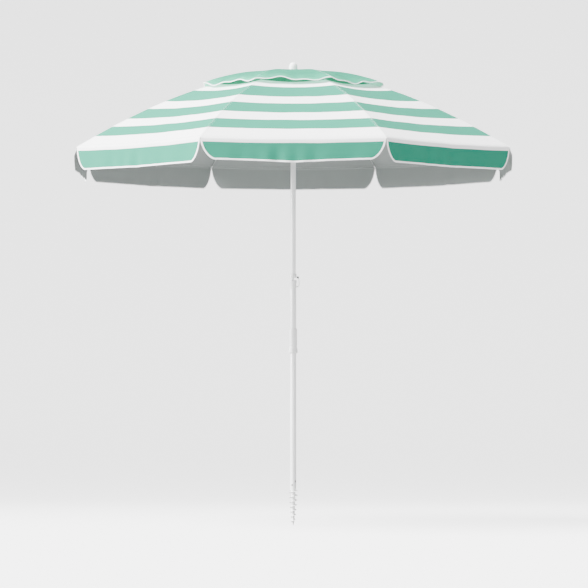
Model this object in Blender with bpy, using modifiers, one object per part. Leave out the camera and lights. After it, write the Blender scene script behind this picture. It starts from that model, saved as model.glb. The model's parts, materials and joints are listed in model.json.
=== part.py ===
"""Beach umbrella: a sand auger, a telescopic pole with a tilt joint, and a folding canopy of eight ribs.

Metres, +Z up, with the origin at the tip of the auger. Rib k stands at azimuth 45 * k - 22.5 degrees and
canopy panel k at azimuth 45 * k, between rib k and rib k + 1. The canopy is open, the pole is at its
lowest and the tilt joint is straight.
"""

import math

import bmesh
import bpy
from mathutils import Matrix, Vector

GAP = 0.0003  # left between pieces that touch

# Canopy frame.
PANELS = 8
PANEL_ANGLE = 2 * math.pi / PANELS
HALF_PANEL = PANEL_ANGLE / 2
RIM_R = 0.950  # fabric corner over a rib tip
RIB_END_R = 0.9475
RIB_WIRE_R = 0.002
RIB_BEND = 0.736  # the rib is the hyperbola drop = sqrt(bend**2 + fall * run**2) - bend
RIB_FALL = 0.671
PIVOT_R = 0.017  # radius of the ring wires in the notch and the runner
NOTCH_Z = 1.872
LINK = 0.380  # stretcher length, and notch pivot to stretcher pivot
LINK_RUN = 0.3742
LINK_DROP = math.sqrt(LINK**2 - LINK_RUN**2)
STRETCHER_PIVOT = (PIVOT_R + LINK_RUN, NOTCH_Z - LINK_DROP)
RUNNER_Z = NOTCH_Z - 2 * LINK_DROP
RING_WIRE_R = 0.0008
RING_HOLE_R = 0.0011
TONGUE = 0.0022  # thickness of the flattened ends that sit in the slots
EYE_R = 0.003
EYE_HOLE_R = 0.0012
CROWN_R = 0.0205
CROWN_HALF = 0.007
SLOT_FLOOR_R = 0.0137
SLOT_WIDTH = 0.0032

# Fabric.
HINGE = (0.012, 1.887)  # radius and height of the line that a canopy panel folds about
CLOTH = 0.001
CLOTH_LIFT = RIB_WIRE_R + 0.0004 + CLOTH / 2
SEAM_INSET = 0.0004
VENT_HOLE_R = 0.18
GORE_SAG = 0.011
RIM_SAG = 0.007
VENT_EDGE_R = 0.420
VENT_TOP_Z = 1.8879
VENT_FALL = 0.0735
FLAP_DROP = 0.086
FLAP_BOW = 0.013
FLAP_CORNER = 0.060

# Pole.
POLE_R = 0.0125
POLE_BORE_R = 0.0115
INNER_R = POLE_BORE_R - GAP
POLE_FOOT_Z = 0.152
LOWER_TOP_Z = 0.745
MIDDLE_Z = (0.750, 0.985)
INNER_Z = (0.440, 0.900)
UPPER_R = 0.011
UPPER_BORE_R = 0.010
UPPER_Z = (1.0473, 1.8582)

# Tilt joint, whose pin runs along Y.
TILT_X = -0.004
TILT_Z = 1.022
KNUCKLE_R = 0.0143
TILT_TURN = 30
TONGUE_R = 0.0082
TONGUE_TOP = 0.0150
PIN_R = 0.002
LEVER_X = 0.015
LEVER_Z = 0.9935

# Sand auger.
FLIGHT_PITCH = 0.020
FLIGHT_TURNS = 6.6
FLIGHT_TOP_Z = 0.1475
SCREWS = {"anchor_screw_front": (-43, 0.185), "anchor_screw_side": (-109, 0.170)}

# Catch that holds the open runner.
CATCH_Z = 1.688
CATCH_R = 0.0031
CATCH_REACH = 0.0135

ROUND = 24  # sides of a turned piece
HELPERS = None  # the hidden collection that main makes for cutters


def clear_scene():
    """Removes every object that the file opened with."""
    for obj in list(bpy.data.objects):
        bpy.data.objects.remove(obj)


def collection(name, hidden=False):
    """A new collection in the scene."""
    group = bpy.data.collections.new(name)
    group.hide_render = hidden
    bpy.context.scene.collection.children.link(group)
    return group


def finish(name, colour, roughness, metallic=0.0):
    """A Principled material."""
    material = bpy.data.materials.new(name)
    material.use_nodes = True
    shader = material.node_tree.nodes["Principled BSDF"]
    shader.inputs["Base Color"].default_value = (*colour, 1.0)
    shader.inputs["Roughness"].default_value = roughness
    shader.inputs["Metallic"].default_value = metallic
    return material


def mesh_from(work, name):
    """Turns a bmesh into a mesh with its faces pointing out."""
    bmesh.ops.recalc_face_normals(work, faces=work.faces)
    mesh = bpy.data.meshes.new(name)
    work.to_mesh(mesh)
    work.free()
    return mesh


def cylinder(radius, start, end, sides=16):
    """A round bar between two points."""
    start, end = Vector(start), Vector(end)
    turn = (end - start).to_track_quat("Z", "Y").to_matrix().to_4x4()
    place = Matrix.Translation((start + end) / 2) @ turn
    work = bmesh.new()
    bmesh.ops.create_cone(
        work, cap_ends=True, segments=sides, radius1=radius, radius2=radius,
        depth=(end - start).length, matrix=place,
    )
    return mesh_from(work, "cylinder")


def block(low, high):
    """A box between two corners."""
    low, high = Vector(low), Vector(high)
    size = Matrix.Diagonal((*(high - low), 1.0))
    work = bmesh.new()
    bmesh.ops.create_cube(work, size=1.0, matrix=Matrix.Translation((low + high) / 2) @ size)
    return mesh_from(work, "block")


def plate(outline, low_y, high_y):
    """A flat piece: an outline of (x, z) points, extruded along Y."""
    work = bmesh.new()
    face = work.faces.new([work.verts.new((x, low_y, z)) for x, z in outline])
    grown = bmesh.ops.extrude_face_region(work, geom=[face])
    moved = [item for item in grown["geom"] if isinstance(item, bmesh.types.BMVert)]
    bmesh.ops.translate(work, verts=moved, vec=(0, high_y - low_y, 0))
    return mesh_from(work, "plate")


def arc(centre, radius, start, end, steps):
    """Points of an arc in the x, z plane, from one angle to another in degrees."""
    points = []
    for step in range(steps + 1):
        angle = math.radians(start + (end - start) * step / steps)
        points.append((centre[0] + radius * math.cos(angle), centre[1] + radius * math.sin(angle)))
    return points


def joined(*meshes):
    """One mesh that holds several separate bodies."""
    work = bmesh.new()
    for mesh in meshes:
        work.from_mesh(mesh)
    return mesh_from(work, "joined")


def shifted(mesh, offset=(0, 0, 0), turn=0.0, axis="Z"):
    """The mesh, turned about an axis through the origin and then moved."""
    mesh.transform(Matrix.Translation(offset) @ Matrix.Rotation(turn, 4, axis))
    return mesh


def around(mesh, count, first):
    """Copies of a mesh turned about Z at equal steps from a first azimuth."""
    work = bmesh.new()
    for number in range(count):
        copy = mesh.copy()
        shifted(copy, turn=first + number * 2 * math.pi / count)
        work.from_mesh(copy)
    return mesh_from(work, "around")


def add(name, mesh, material, group, place=(0, 0, 0)):
    """One named sub-part."""
    obj = bpy.data.objects.new(name, mesh)
    obj.location = place
    mesh.materials.append(material)
    mesh.shade_smooth()
    mesh.set_sharp_from_angle(angle=math.radians(35))
    group.objects.link(obj)
    return obj


def turned(name, profile, material, group, place=(0, 0, 0), closed=False):
    """A turned piece. Its (radius, height) profile runs down the outer side from the top."""
    work = bmesh.new()
    points = [work.verts.new((radius, 0, height)) for radius, height in profile]
    for upper, lower in zip(points, points[1:]):
        work.edges.new((upper, lower))
    if closed:
        work.edges.new((points[-1], points[0]))
    mesh = bpy.data.meshes.new(name)
    work.to_mesh(mesh)
    work.free()
    obj = bpy.data.objects.new(name, mesh)
    obj.location = place
    mesh.materials.append(material)
    group.objects.link(obj)
    screw = obj.modifiers.new("Turn", "SCREW")
    screw.steps = ROUND
    screw.render_steps = ROUND
    screw.use_merge_vertices = True
    screw.merge_threshold = 0.00001
    screw.use_smooth_shade = True
    return obj


def tube_profile(outer, inner, low, high):
    """The closed profile of a plain tube."""
    return [(outer, high), (outer, low), (inner, low), (inner, high)]


def helper(mesh, place=(0, 0, 0)):
    """A hidden object that a Boolean cuts with or adds."""
    obj = bpy.data.objects.new("helper", mesh)
    obj.location = place
    obj.hide_render = True
    obj.display_type = "WIRE"
    HELPERS.objects.link(obj)
    return obj


def combine(obj, operation, mesh):
    """Cuts a mesh from the object, or adds it. The mesh is in the object's own frame."""
    boolean = obj.modifiers.new(operation.title(), "BOOLEAN")
    boolean.operation = operation
    boolean.object = helper(mesh, obj.location)
    return obj


def baked(obj):
    """The object's mesh with its modifiers applied. The object and its helpers are removed."""
    bpy.context.view_layer.update()
    graph = bpy.context.evaluated_depsgraph_get()
    mesh = bpy.data.meshes.new_from_object(obj.evaluated_get(graph))
    helpers = [modifier.object for modifier in obj.modifiers if modifier.type == "BOOLEAN"]
    for used in (obj, *helpers):
        bpy.data.objects.remove(used)
    return mesh


def wire(points, radius, resolution=1):
    """A round wire through the points, as a closed mesh."""
    curve = bpy.data.curves.new("wire", "CURVE")
    curve.dimensions = "3D"
    curve.bevel_depth = radius
    curve.bevel_resolution = resolution
    curve.use_fill_caps = True
    spline = curve.splines.new("POLY")
    spline.points.add(len(points) - 1)
    for point, place in zip(spline.points, points):
        point.co = (*place, 1.0)
    obj = bpy.data.objects.new("wire", curve)
    HELPERS.objects.link(obj)
    mesh = baked(obj)
    work = bmesh.new()
    work.from_mesh(mesh)
    bmesh.ops.remove_doubles(work, verts=work.verts, dist=0.00001)
    return mesh_from(work, "wire")


def ring_wire(name, height, material, group):
    """The closed wire that the rib or stretcher eyes turn on."""
    outer = arc((PIVOT_R, 0), RING_WIRE_R, 90, -270, 6)
    profile = [(radius, drop) for radius, drop in outer[:-1]]
    return turned(name, profile, material, group, (0, 0, height), closed=True)


def rib_azimuth(number):
    """Azimuth of rib 1 to 8."""
    return PANEL_ANGLE * number - HALF_PANEL


def panel_azimuth(number):
    """Azimuth of the middle of panel 1 to 8."""
    return PANEL_ANGLE * number


def rib_z(radius):
    """Height of a rib's centreline. It leaves the notch level and steepens towards the rim."""
    run = radius - PIVOT_R
    return NOTCH_Z + RIB_BEND - math.sqrt(RIB_BEND**2 + RIB_FALL * run**2)


def rib_slope(radius):
    """Fall of a rib for each metre outwards."""
    run = radius - PIVOT_R
    return RIB_FALL * run / math.sqrt(RIB_BEND**2 + RIB_FALL * run**2)


def cloth_z(radius):
    """Height of the canopy fabric over a rib."""
    return rib_z(radius) + CLOTH_LIFT * math.hypot(1, rib_slope(radius))


# Line that a valance flap hangs from.
FLAP_HINGE = (RIM_R * math.cos(HALF_PANEL), cloth_z(RIM_R) - 0.004)


def vent_z(radius):
    """Height of the vent cap fabric over a rib."""
    return VENT_TOP_Z - VENT_FALL * (radius / VENT_EDGE_R) ** 2.2


def stations():
    """Radii of the canopy's rows, from the vent hole to the rim."""
    count = 8
    return [VENT_HOLE_R + (RIM_R - VENT_HOLE_R) * row / count for row in range(count + 1)]


def rings_of(name, mesh, material, group, origin, azimuths):
    """One object for each azimuth. They share a mesh that is drawn at azimuth 0 about its own origin."""
    mesh.materials.append(material)
    mesh.shade_smooth()
    mesh.set_sharp_from_angle(angle=math.radians(35))
    made = []
    for number, azimuth in enumerate(azimuths, 1):
        obj = bpy.data.objects.new(f"{name}_{number}", mesh)
        obj.location = Matrix.Rotation(azimuth, 3, "Z") @ Vector((origin[0], 0, origin[1]))
        obj.rotation_euler = (0, 0, azimuth)
        group.objects.link(obj)
        made.append(obj)
    return made


def draped(rows, columns, place):
    """An open sheet: a grid whose (down, across) fractions are placed by a function."""
    work = bmesh.new()
    bmesh.ops.create_grid(work, x_segments=rows, y_segments=columns, size=1.0)
    for vertex in work.verts:
        vertex.co = place((vertex.co.x + 1) / 2, vertex.co.y)
    mesh = bpy.data.meshes.new("sheet")
    work.to_mesh(mesh)
    work.free()
    obj = bpy.data.objects.new("sheet", mesh)
    HELPERS.objects.link(obj)
    solidify = obj.modifiers.new("Cloth", "SOLIDIFY")
    solidify.thickness = CLOTH
    solidify.offset = 0.0
    return baked(obj)


def make_auger(white, group):
    """The sand auger: a tapered core with a helical flight, and a shank inside the pole's foot."""
    profile = [
        (0, 0.210), (0.0095, 0.210), (INNER_R, 0.207), (INNER_R, POLE_FOOT_Z - GAP),
        (POLE_R, POLE_FOOT_Z - GAP), (POLE_R, 0.1485), (0.0092, 0.1465), (0.0068, 0.060),
        (0.0052, 0.020), (0, 0),
    ]
    auger = turned("sand_auger", profile, white, group)
    combine(auger, "UNION", make_flight())
    for azimuth, height in SCREWS.values():
        way = Vector((math.cos(math.radians(azimuth)), math.sin(math.radians(azimuth)), 0))
        rise = Vector((0, 0, height))
        combine(auger, "DIFFERENCE", cylinder(0.0019, way * 0.004 + rise, way * 0.013 + rise, 12))
    return auger


def make_flight():
    """The helical blade. Its root is inside the core and its edge tapers in towards the tip."""
    steps = round(FLIGHT_TURNS * 12)
    work = bmesh.new()
    sections = []
    for step in range(steps + 1):
        done = step / steps
        angle = 2 * math.pi * FLIGHT_TURNS * done
        height = FLIGHT_TOP_Z - FLIGHT_PITCH * FLIGHT_TURNS * done
        reach = 0.020 - 0.0115 * done**1.3
        corners = ((0.003, 0.0010), (reach, 0.0004), (reach, -0.0004), (0.003, -0.0010))
        sections.append([
            work.verts.new((radius * math.cos(angle), -radius * math.sin(angle), height + up))
            for radius, up in corners
        ])
    for near, far in zip(sections, sections[1:]):
        for side in range(4):
            after = (side + 1) % 4
            work.faces.new((near[side], near[after], far[after], far[side]))
    work.faces.new(sections[0])
    work.faces.new(sections[-1][::-1])
    return mesh_from(work, "flight")


def make_screws(steel, group):
    """The two screws that hold the auger's shank in the pole."""
    for name, (azimuth, height) in SCREWS.items():
        profile = [
            (0, 0.0148), (0.0016, 0.0146), (0.0030, 0.0138), (0.0035, 0.0128),
            (0.0016, 0.0128), (0.0016, 0.0060), (0, 0.0045),
        ]
        screw = turned(name, profile, steel, group, (0, 0, height))
        screw.rotation_euler = (0, math.radians(90), math.radians(azimuth))


def make_pole(white, group):
    """The pole's tubes, each with the holes that it needs."""
    profile = tube_profile(POLE_R, POLE_BORE_R, POLE_FOOT_Z, LOWER_TOP_Z)
    lower = turned("lower_pole", profile, white, group, closed=True)
    for azimuth, height in SCREWS.values():
        way = Vector((math.cos(math.radians(azimuth)), math.sin(math.radians(azimuth)), 0))
        rise = Vector((0, 0, height))
        combine(lower, "DIFFERENCE", cylinder(0.0021, way * 0.008 + rise, way * 0.016 + rise, 12))
    turned("middle_pole", tube_profile(POLE_R, POLE_BORE_R, *MIDDLE_Z), white, group, closed=True)
    turned("inner_tube", tube_profile(INNER_R, INNER_R - 0.001, *INNER_Z), white, group, closed=True)
    upper = turned("upper_pole", tube_profile(UPPER_R, UPPER_BORE_R, *UPPER_Z), white, group, closed=True)
    combine(upper, "DIFFERENCE", cylinder(CATCH_R + GAP, (0, -0.006, CATCH_Z), (0, -0.014, CATCH_Z)))


def make_height_lock(white, group):
    """The sleeve on the middle pole and the gripped ring below it, which turns to clamp the inner tube."""
    sleeve = [
        (0.0146, 0.8200), (0.0158, 0.8188), (0.0162, 0.8165), (0.0162, 0.7530), (0.0150, 0.7480),
        (POLE_R + GAP, 0.7480), (POLE_R + GAP, 0.8200),
    ]
    turned("lock_sleeve", sleeve, white, group, closed=True)
    ring = [
        (0.0150, 0.7475), (0.0164, 0.7440), (0.0195, 0.7250), (0.0192, 0.7190), (0.0150, 0.7165),
        (POLE_R + GAP, 0.7165), (POLE_R + GAP, 0.7475),
    ]
    grips = around(cylinder(0.0024, (0.0208, 0, 0.700), (0.0208, 0, 0.740), 8), 8, 0)
    lock = turned("lock_ring", ring, white, group, closed=True)
    combine(lock, "DIFFERENCE", grips)


def make_lower_knuckle(white, group):
    """The fork of the tilt joint, with the lugs that carry its lever."""
    profile = [
        (0, 1.0340), (KNUCKLE_R, 1.0340), (KNUCKLE_R, 1.0100), (0.0128, 1.0070), (0.0128, 0.9853),
        (INNER_R, 0.9853), (INNER_R, 0.9570), (0.0100, 0.9550), (0, 0.9550),
    ]
    knuckle = turned("tilt_lower_knuckle", profile, white, group)
    reach = 0.0092
    crest = arc((TILT_X, TILT_Z), reach, 180, 0, 8)
    above = [(-0.020, 1.040), (-0.020, TILT_Z), *crest, (0.020, TILT_Z), (0.020, 1.040)]
    combine(knuckle, "DIFFERENCE", plate(above, -0.020, 0.020))
    floor = arc((TILT_X, TILT_Z), 0.0088, 180, 360, 8)
    cleft = [(-0.020, 1.040), (-0.020, TILT_Z), *floor, (0.020, TILT_Z), (0.020, 1.040)]
    combine(knuckle, "DIFFERENCE", plate(cleft, -0.0040, 0.0040))
    lug = [(0.0100, LEVER_Z + 0.0026), (0.0100, LEVER_Z - 0.0026)]
    lug += arc((LEVER_X, LEVER_Z), 0.0026, -90, 90, 8)
    combine(knuckle, "UNION", joined(plate(lug, -0.0046, -0.0026), plate(lug, 0.0026, 0.0046)))
    pivot = cylinder(0.0015, (LEVER_X, -0.006, LEVER_Z), (LEVER_X, 0.006, LEVER_Z), 12)
    pin_hole = cylinder(PIN_R + GAP, (TILT_X, -0.016, TILT_Z), (TILT_X, 0.016, TILT_Z))
    combine(knuckle, "DIFFERENCE", joined(pivot, pin_hole))
    seats = [
        cylinder(0.0042, (TILT_X, side * 0.0122, TILT_Z), (TILT_X, side * 0.018, TILT_Z))
        for side in (-1, 1)
    ]
    combine(knuckle, "DIFFERENCE", joined(*seats))


def make_upper_knuckle(white, group):
    """The tongue of the tilt joint, with the collar and spigot that carry the upper pole.

    The tongue's back leans in by the tilt range, so that it stays clear of the cleft at full tilt.
    """
    place = Vector((TILT_X, 0, TILT_Z))
    profile = [
        (0, 1.0800), (0.0090, 1.0800), (UPPER_BORE_R - GAP, 1.0780), (UPPER_BORE_R - GAP, 1.0470),
        (0.0125, 1.0470), (KNUCKLE_R, 1.0445), (KNUCKLE_R, 1.0316), (0, 1.0316),
    ]
    profile = [(radius, height - TILT_Z) for radius, height in profile]
    knuckle = turned("tilt_upper_knuckle", profile, white, group, (0, 0, TILT_Z))
    turn = math.radians(TILT_TURN)
    eye = arc((TILT_X, 0), TONGUE_R, 0, -180 - TILT_TURN, 10)
    rise = (TONGUE_TOP - TONGUE_R * math.sin(turn)) * math.tan(turn)
    back = (TILT_X - TONGUE_R * math.cos(turn) + rise, TONGUE_TOP)
    tongue = [*eye, back, (TILT_X + TONGUE_R, TONGUE_TOP)]
    combine(knuckle, "UNION", plate(tongue, -0.0036, 0.0036))
    hole = cylinder(PIN_R + GAP, (TILT_X, -0.006, 0), (TILT_X, 0.006, 0))
    combine(knuckle, "DIFFERENCE", hole)
    mesh = baked(knuckle)
    shifted(mesh, (-TILT_X, 0, 0))
    mesh.materials.clear()
    add("tilt_upper_knuckle", mesh, white, group, place)


def make_tilt_pin(steel, group):
    """The rivet that the tilt joint turns on."""
    profile = [
        (0, 0.0142), (0.0024, 0.0139), (0.0036, 0.0126), (0.0036, 0.0125), (PIN_R, 0.0125),
        (PIN_R, -0.0125), (0.0036, -0.0125), (0.0036, -0.0126), (0.0024, -0.0139), (0, -0.0142),
    ]
    pin = turned("tilt_pivot_pin", profile, steel, group, (TILT_X, 0, TILT_Z))
    pin.rotation_euler = (math.radians(90), 0, 0)


def strip(path, thickness):
    """The outline of a bent strip that follows a path of (x, z) points."""
    left, right = [], []
    for number, point in enumerate(path):
        before = path[max(number - 1, 0)]
        after = path[min(number + 1, len(path) - 1)]
        along = (Vector(after) - Vector(before)).normalized()
        across = Vector((-along.y, along.x)) * thickness / 2
        left.append(tuple(Vector(point) + across))
        right.append(tuple(Vector(point) - across))
    return left + right[::-1]


def make_lever(dark, group):
    """The bent release lever beside the tilt joint, on two short trunnions."""
    place = (LEVER_X, 0, LEVER_Z)
    arm = [(0, 0), (0.0045, 0.0008), (0.0078, 0.0032), (0.0098, 0.0075)]
    bend = [(0.0072, 0.0026), (0.0098, 0.0075), (0.0098, 0.0145), (0.0088, 0.0250), (0.0078, 0.0400)]
    bar = plate(arc((0, 0), 0.0021, 90, 270, 8) + [(0.0040, -0.0012), (0.0040, 0.0024)], -0.0022, 0.0022)
    lever = add("tilt_lever", bar, dark, group, place)
    combine(lever, "UNION", plate(strip(arm, 0.0020), -0.0021, 0.0021))
    combine(lever, "UNION", plate(strip(bend, 0.0019), -0.0050, 0.0050))
    combine(lever, "UNION", block((0.0004, -0.0046, 0.0350), (0.0082, 0.0046, 0.0432)))
    combine(lever, "UNION", cylinder(0.0012, (0, -0.0044, 0), (0, 0.0044, 0), 12))


def slots(low, high):
    """The eight radial slots of the notch or the runner, at the ribs' azimuths."""
    slot = block((SLOT_FLOOR_R, -SLOT_WIDTH / 2, low), (0.024, SLOT_WIDTH / 2, high))
    return around(slot, PANELS, HALF_PANEL)


def ring_channel():
    """The round channel that a ring wire lies in."""
    profile = arc((PIVOT_R, 0), RING_HOLE_R, 90, -270, 6)[:-1]
    return baked(turned("channel", profile, None, HELPERS, closed=True))


def make_notch(white, group):
    """The slotted hub at the pole's top, with the stud that the finial screws onto."""
    boss = 0.0150
    profile = [
        (0, 0.0430), (0.0032, 0.0430), (0.0040, 0.0420), (0.0040, boss), (0.0135, boss),
        (0.0135, CROWN_HALF), (0.0195, CROWN_HALF), (CROWN_R, 0.0060), (CROWN_R, -0.0060),
        (0.0195, -CROWN_HALF), (0.0135, -CROWN_HALF), (0.0135, -0.0135), (UPPER_BORE_R - GAP, -0.0135),
        (UPPER_BORE_R - GAP, -0.0480), (0.0090, -0.0500), (0, -0.0500),
    ]
    notch = turned("top_notch", profile, white, group, (0, 0, NOTCH_Z))
    combine(notch, "DIFFERENCE", slots(-0.010, 0.010))
    combine(notch, "DIFFERENCE", ring_channel())


def make_runner(white, group):
    """The hub that slides on the upper pole. A keyway in its bore passes the catch."""
    bore = UPPER_R + 0.0005
    profile = [
        (0.0195, CROWN_HALF), (CROWN_R, 0.0060), (CROWN_R, -0.0060), (0.0190, -0.0090),
        (0.0158, -0.0120), (0.0158, -0.0465), (0.0146, -0.0480), (bore, -0.0480), (bore, CROWN_HALF),
    ]
    runner = turned("runner", profile, white, group, (0, 0, RUNNER_Z), closed=True)
    combine(runner, "DIFFERENCE", slots(-0.0042, 0.010))
    combine(runner, "DIFFERENCE", ring_channel())
    keyway = block((-CATCH_R - 0.0005, -0.0141, -0.060), (CATCH_R + 0.0005, -0.0050, 0.020))
    combine(runner, "DIFFERENCE", keyway)


def make_catch(steel, group):
    """The sprung button in the pole that stops the open runner from sliding down."""
    profile = [
        (0, CATCH_REACH), (0.0020, CATCH_REACH - 0.0004), (CATCH_R, CATCH_REACH - 0.0016),
        (CATCH_R, 0.0080), (0.0045, 0.0080), (0.0045, 0.0066), (0, 0.0066),
    ]
    catch = turned("runner_catch", profile, steel, group, (0, 0, CATCH_Z))
    catch.rotation_euler = (math.radians(90), 0, 0)


def make_top(white, group):
    """The washer that clamps the vent cap's middle, and the domed finial over it."""
    turned("top_washer", tube_profile(0.0220, 0.0060, 1.8887, 1.8905), white, group, closed=True)
    dome = [
        (0, 1.9300), (0.0050, 1.9294), (0.0095, 1.9274), (0.0133, 1.9238), (0.0161, 1.9186),
        (0.0177, 1.9120), (0.0180, 1.9040), (0.0174, 1.8908), (0.0046, 1.8908), (0.0046, 1.9180),
        (0, 1.9180),
    ]
    turned("finial", dome, white, group)


def make_ribs(steel, group):
    """A rib: a bent wire with a flat eye at the notch and a drilled lug for its stretcher."""
    start = PIVOT_R + 0.0095
    radii = [start, 0.060, 0.110] + stations()[:-1] + [RIB_END_R]
    line = [(radius - PIVOT_R, 0, rib_z(radius) - NOTCH_Z) for radius in radii]
    rib = bpy.data.objects.new("rib", wire(line, RIB_WIRE_R))
    HELPERS.objects.link(rib)
    eye = arc((0, 0), EYE_R, 80, 280, 8) + [(0.0130, -0.0017), (0.0130, 0.0015)]
    combine(rib, "UNION", plate(eye, -TONGUE / 2, TONGUE / 2))
    run = LINK_RUN
    drop = -LINK_DROP
    rise = rib_z(STRETCHER_PIVOT[0]) - STRETCHER_PIVOT[1]
    lug = arc((run, drop), 0.0027, 180, 360, 6) + [(run + 0.0032, drop + rise), (run - 0.0032, drop + rise)]
    combine(rib, "UNION", plate(lug, -0.0010, 0.0010))
    eye_hole = cylinder(EYE_HOLE_R, (0, -0.003, 0), (0, 0.003, 0), 8)
    lug_hole = cylinder(0.00145, (run, -0.003, drop), (run, 0.003, drop), 8)
    combine(rib, "DIFFERENCE", joined(eye_hole, lug_hole))
    azimuths = [rib_azimuth(number) for number in range(1, PANELS + 1)]
    return rings_of("rib", baked(rib), steel, group, (PIVOT_R, NOTCH_Z), azimuths)


def make_stretchers(steel, group):
    """A stretcher: a bar with a fork and pin at the rib and a flat eye at the runner."""
    fork = 0.0026
    half = 0.0020
    outline = arc((0, 0), fork, 45, 315, 8) + [(LINK - 0.006, -half)]
    outline += arc((LINK, 0), EYE_R, -140, 140, 8) + [(LINK - 0.006, half)]
    bar = bpy.data.objects.new("stretcher", plate(outline, -0.0023, 0.0023))
    HELPERS.objects.link(bar)
    combine(bar, "DIFFERENCE", block((-0.006, -0.0013, -0.006), (0.0046, 0.0013, 0.006)))
    tongue = LINK - 0.0090
    sides = [
        block((tongue, -0.006, -0.006), (LINK + 0.006, -TONGUE / 2, 0.006)),
        block((tongue, TONGUE / 2, -0.006), (LINK + 0.006, 0.006, 0.006)),
    ]
    combine(bar, "DIFFERENCE", joined(*sides))
    combine(bar, "DIFFERENCE", cylinder(EYE_HOLE_R, (LINK, -0.003, 0), (LINK, 0.003, 0), 8))
    combine(bar, "UNION", cylinder(0.0010, (0, -0.0022, 0), (0, 0.0022, 0), 8))
    mesh = baked(bar)
    # The bar is drawn along +X and lies inwards and down from the rib to the runner.
    shifted(mesh, turn=math.pi - math.atan2(LINK_DROP, LINK_RUN), axis="Y")
    azimuths = [rib_azimuth(number) for number in range(1, PANELS + 1)]
    return rings_of("stretcher", mesh, steel, group, STRETCHER_PIVOT, azimuths)


def make_canopy(green, group):
    """The eight main panels, from the vent hole to the rim. Each sags a little between its ribs."""
    radii = stations()

    def place(down, across):
        radius = radii[round(down * (len(radii) - 1))]
        sag = (GORE_SAG + (RIM_SAG - GORE_SAG) * down) * (1 - across**2)
        half = radius * math.sin(HALF_PANEL) - SEAM_INSET
        return (radius * math.cos(HALF_PANEL) - HINGE[0], across * half, cloth_z(radius) - sag - HINGE[1])

    azimuths = [panel_azimuth(number) for number in range(1, PANELS + 1)]
    mesh = draped(len(radii) - 1, 6, place)
    return rings_of("canopy_gore", mesh, green, group, HINGE, azimuths)


def flap_depth(inset):
    """Depth of a valance flap at a distance in from its corner: a rounded corner and a slight bow."""
    turn = max(1 - inset / FLAP_CORNER, 0.0)
    middle = RIM_R * math.sin(HALF_PANEL)
    return FLAP_DROP * (1 - turn**1.75) ** 0.57 + FLAP_BOW * (inset / middle) ** 1.5


def make_flaps(green, group):
    """The eight valance flaps that hang from the rim."""
    middle = RIM_R * math.sin(HALF_PANEL)
    top = cloth_z(RIM_R) - 0.0014

    def place(down, across):
        spread = math.sin(across * math.pi / 2) * (middle - 2 * SEAM_INSET)
        sag = RIM_SAG * (1 - (spread / middle) ** 2)
        depth = flap_depth(middle - abs(spread))
        return (0, spread, top - sag - depth * down - FLAP_HINGE[1])

    azimuths = [panel_azimuth(number) for number in range(1, PANELS + 1)]
    return rings_of("canopy_flap", draped(1, 16, place), green, group, FLAP_HINGE, azimuths)


def make_vent(green, group):
    """The eight panels of the vent cap, clamped under the washer and free at their outer edge."""
    inner = 0.0078

    def place(down, across):
        radius = inner + (VENT_EDGE_R - inner) * down
        half = radius * math.sin(HALF_PANEL) - SEAM_INSET
        sag = 0.004 * down * (1 - across**2)
        return (radius * math.cos(HALF_PANEL) - HINGE[0], across * half, vent_z(radius) - sag - HINGE[1])

    azimuths = [panel_azimuth(number) for number in range(1, PANELS + 1)]
    return rings_of("vent_gore", draped(6, 4, place), green, group, HINGE, azimuths)


def hang(children, parents):
    """Parents each piece to the one that it moves with, and leaves it where it is."""
    bpy.context.view_layer.update()
    for child, parent in zip(children, parents):
        child.parent = parent
        child.matrix_parent_inverse = parent.matrix_world.inverted()


def main():
    """Builds every sub-part."""
    global HELPERS
    clear_scene()
    group = collection("beach_umbrella")
    HELPERS = collection("cutters", hidden=True)
    white = finish("white_enamel", (0.86, 0.87, 0.86), 0.35)
    steel = finish("zinc_steel", (0.55, 0.57, 0.58), 0.35, 1.0)
    dark = finish("dark_steel", (0.10, 0.10, 0.11), 0.40, 0.9)
    green = finish("mint_fabric", (0.29, 0.78, 0.62), 0.80)
    make_auger(white, group)
    make_screws(dark, group)
    make_pole(white, group)
    make_height_lock(white, group)
    make_lower_knuckle(white, group)
    make_upper_knuckle(white, group)
    make_tilt_pin(steel, group)
    make_lever(dark, group)
    make_notch(white, group)
    ring_wire("notch_ring_wire", NOTCH_Z, steel, group)
    make_runner(white, group)
    ring_wire("runner_ring_wire", RUNNER_Z, steel, group)
    make_catch(steel, group)
    make_top(white, group)
    ribs = make_ribs(steel, group)
    stretchers = make_stretchers(steel, group)
    gores = make_canopy(green, group)
    flaps = make_flaps(green, group)
    vents = make_vent(green, group)
    hang(stretchers, ribs)
    hang(flaps, gores)
    hang(vents, gores)


main()
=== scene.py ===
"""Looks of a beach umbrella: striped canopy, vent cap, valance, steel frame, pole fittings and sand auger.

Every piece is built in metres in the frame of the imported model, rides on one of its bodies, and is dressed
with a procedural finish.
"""

import json
import logging
import math
from collections.abc import Sequence
from dataclasses import dataclass, field
from enum import Enum

import bmesh
import bpy
import numpy as np
from mathutils import Matrix, Vector


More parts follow.
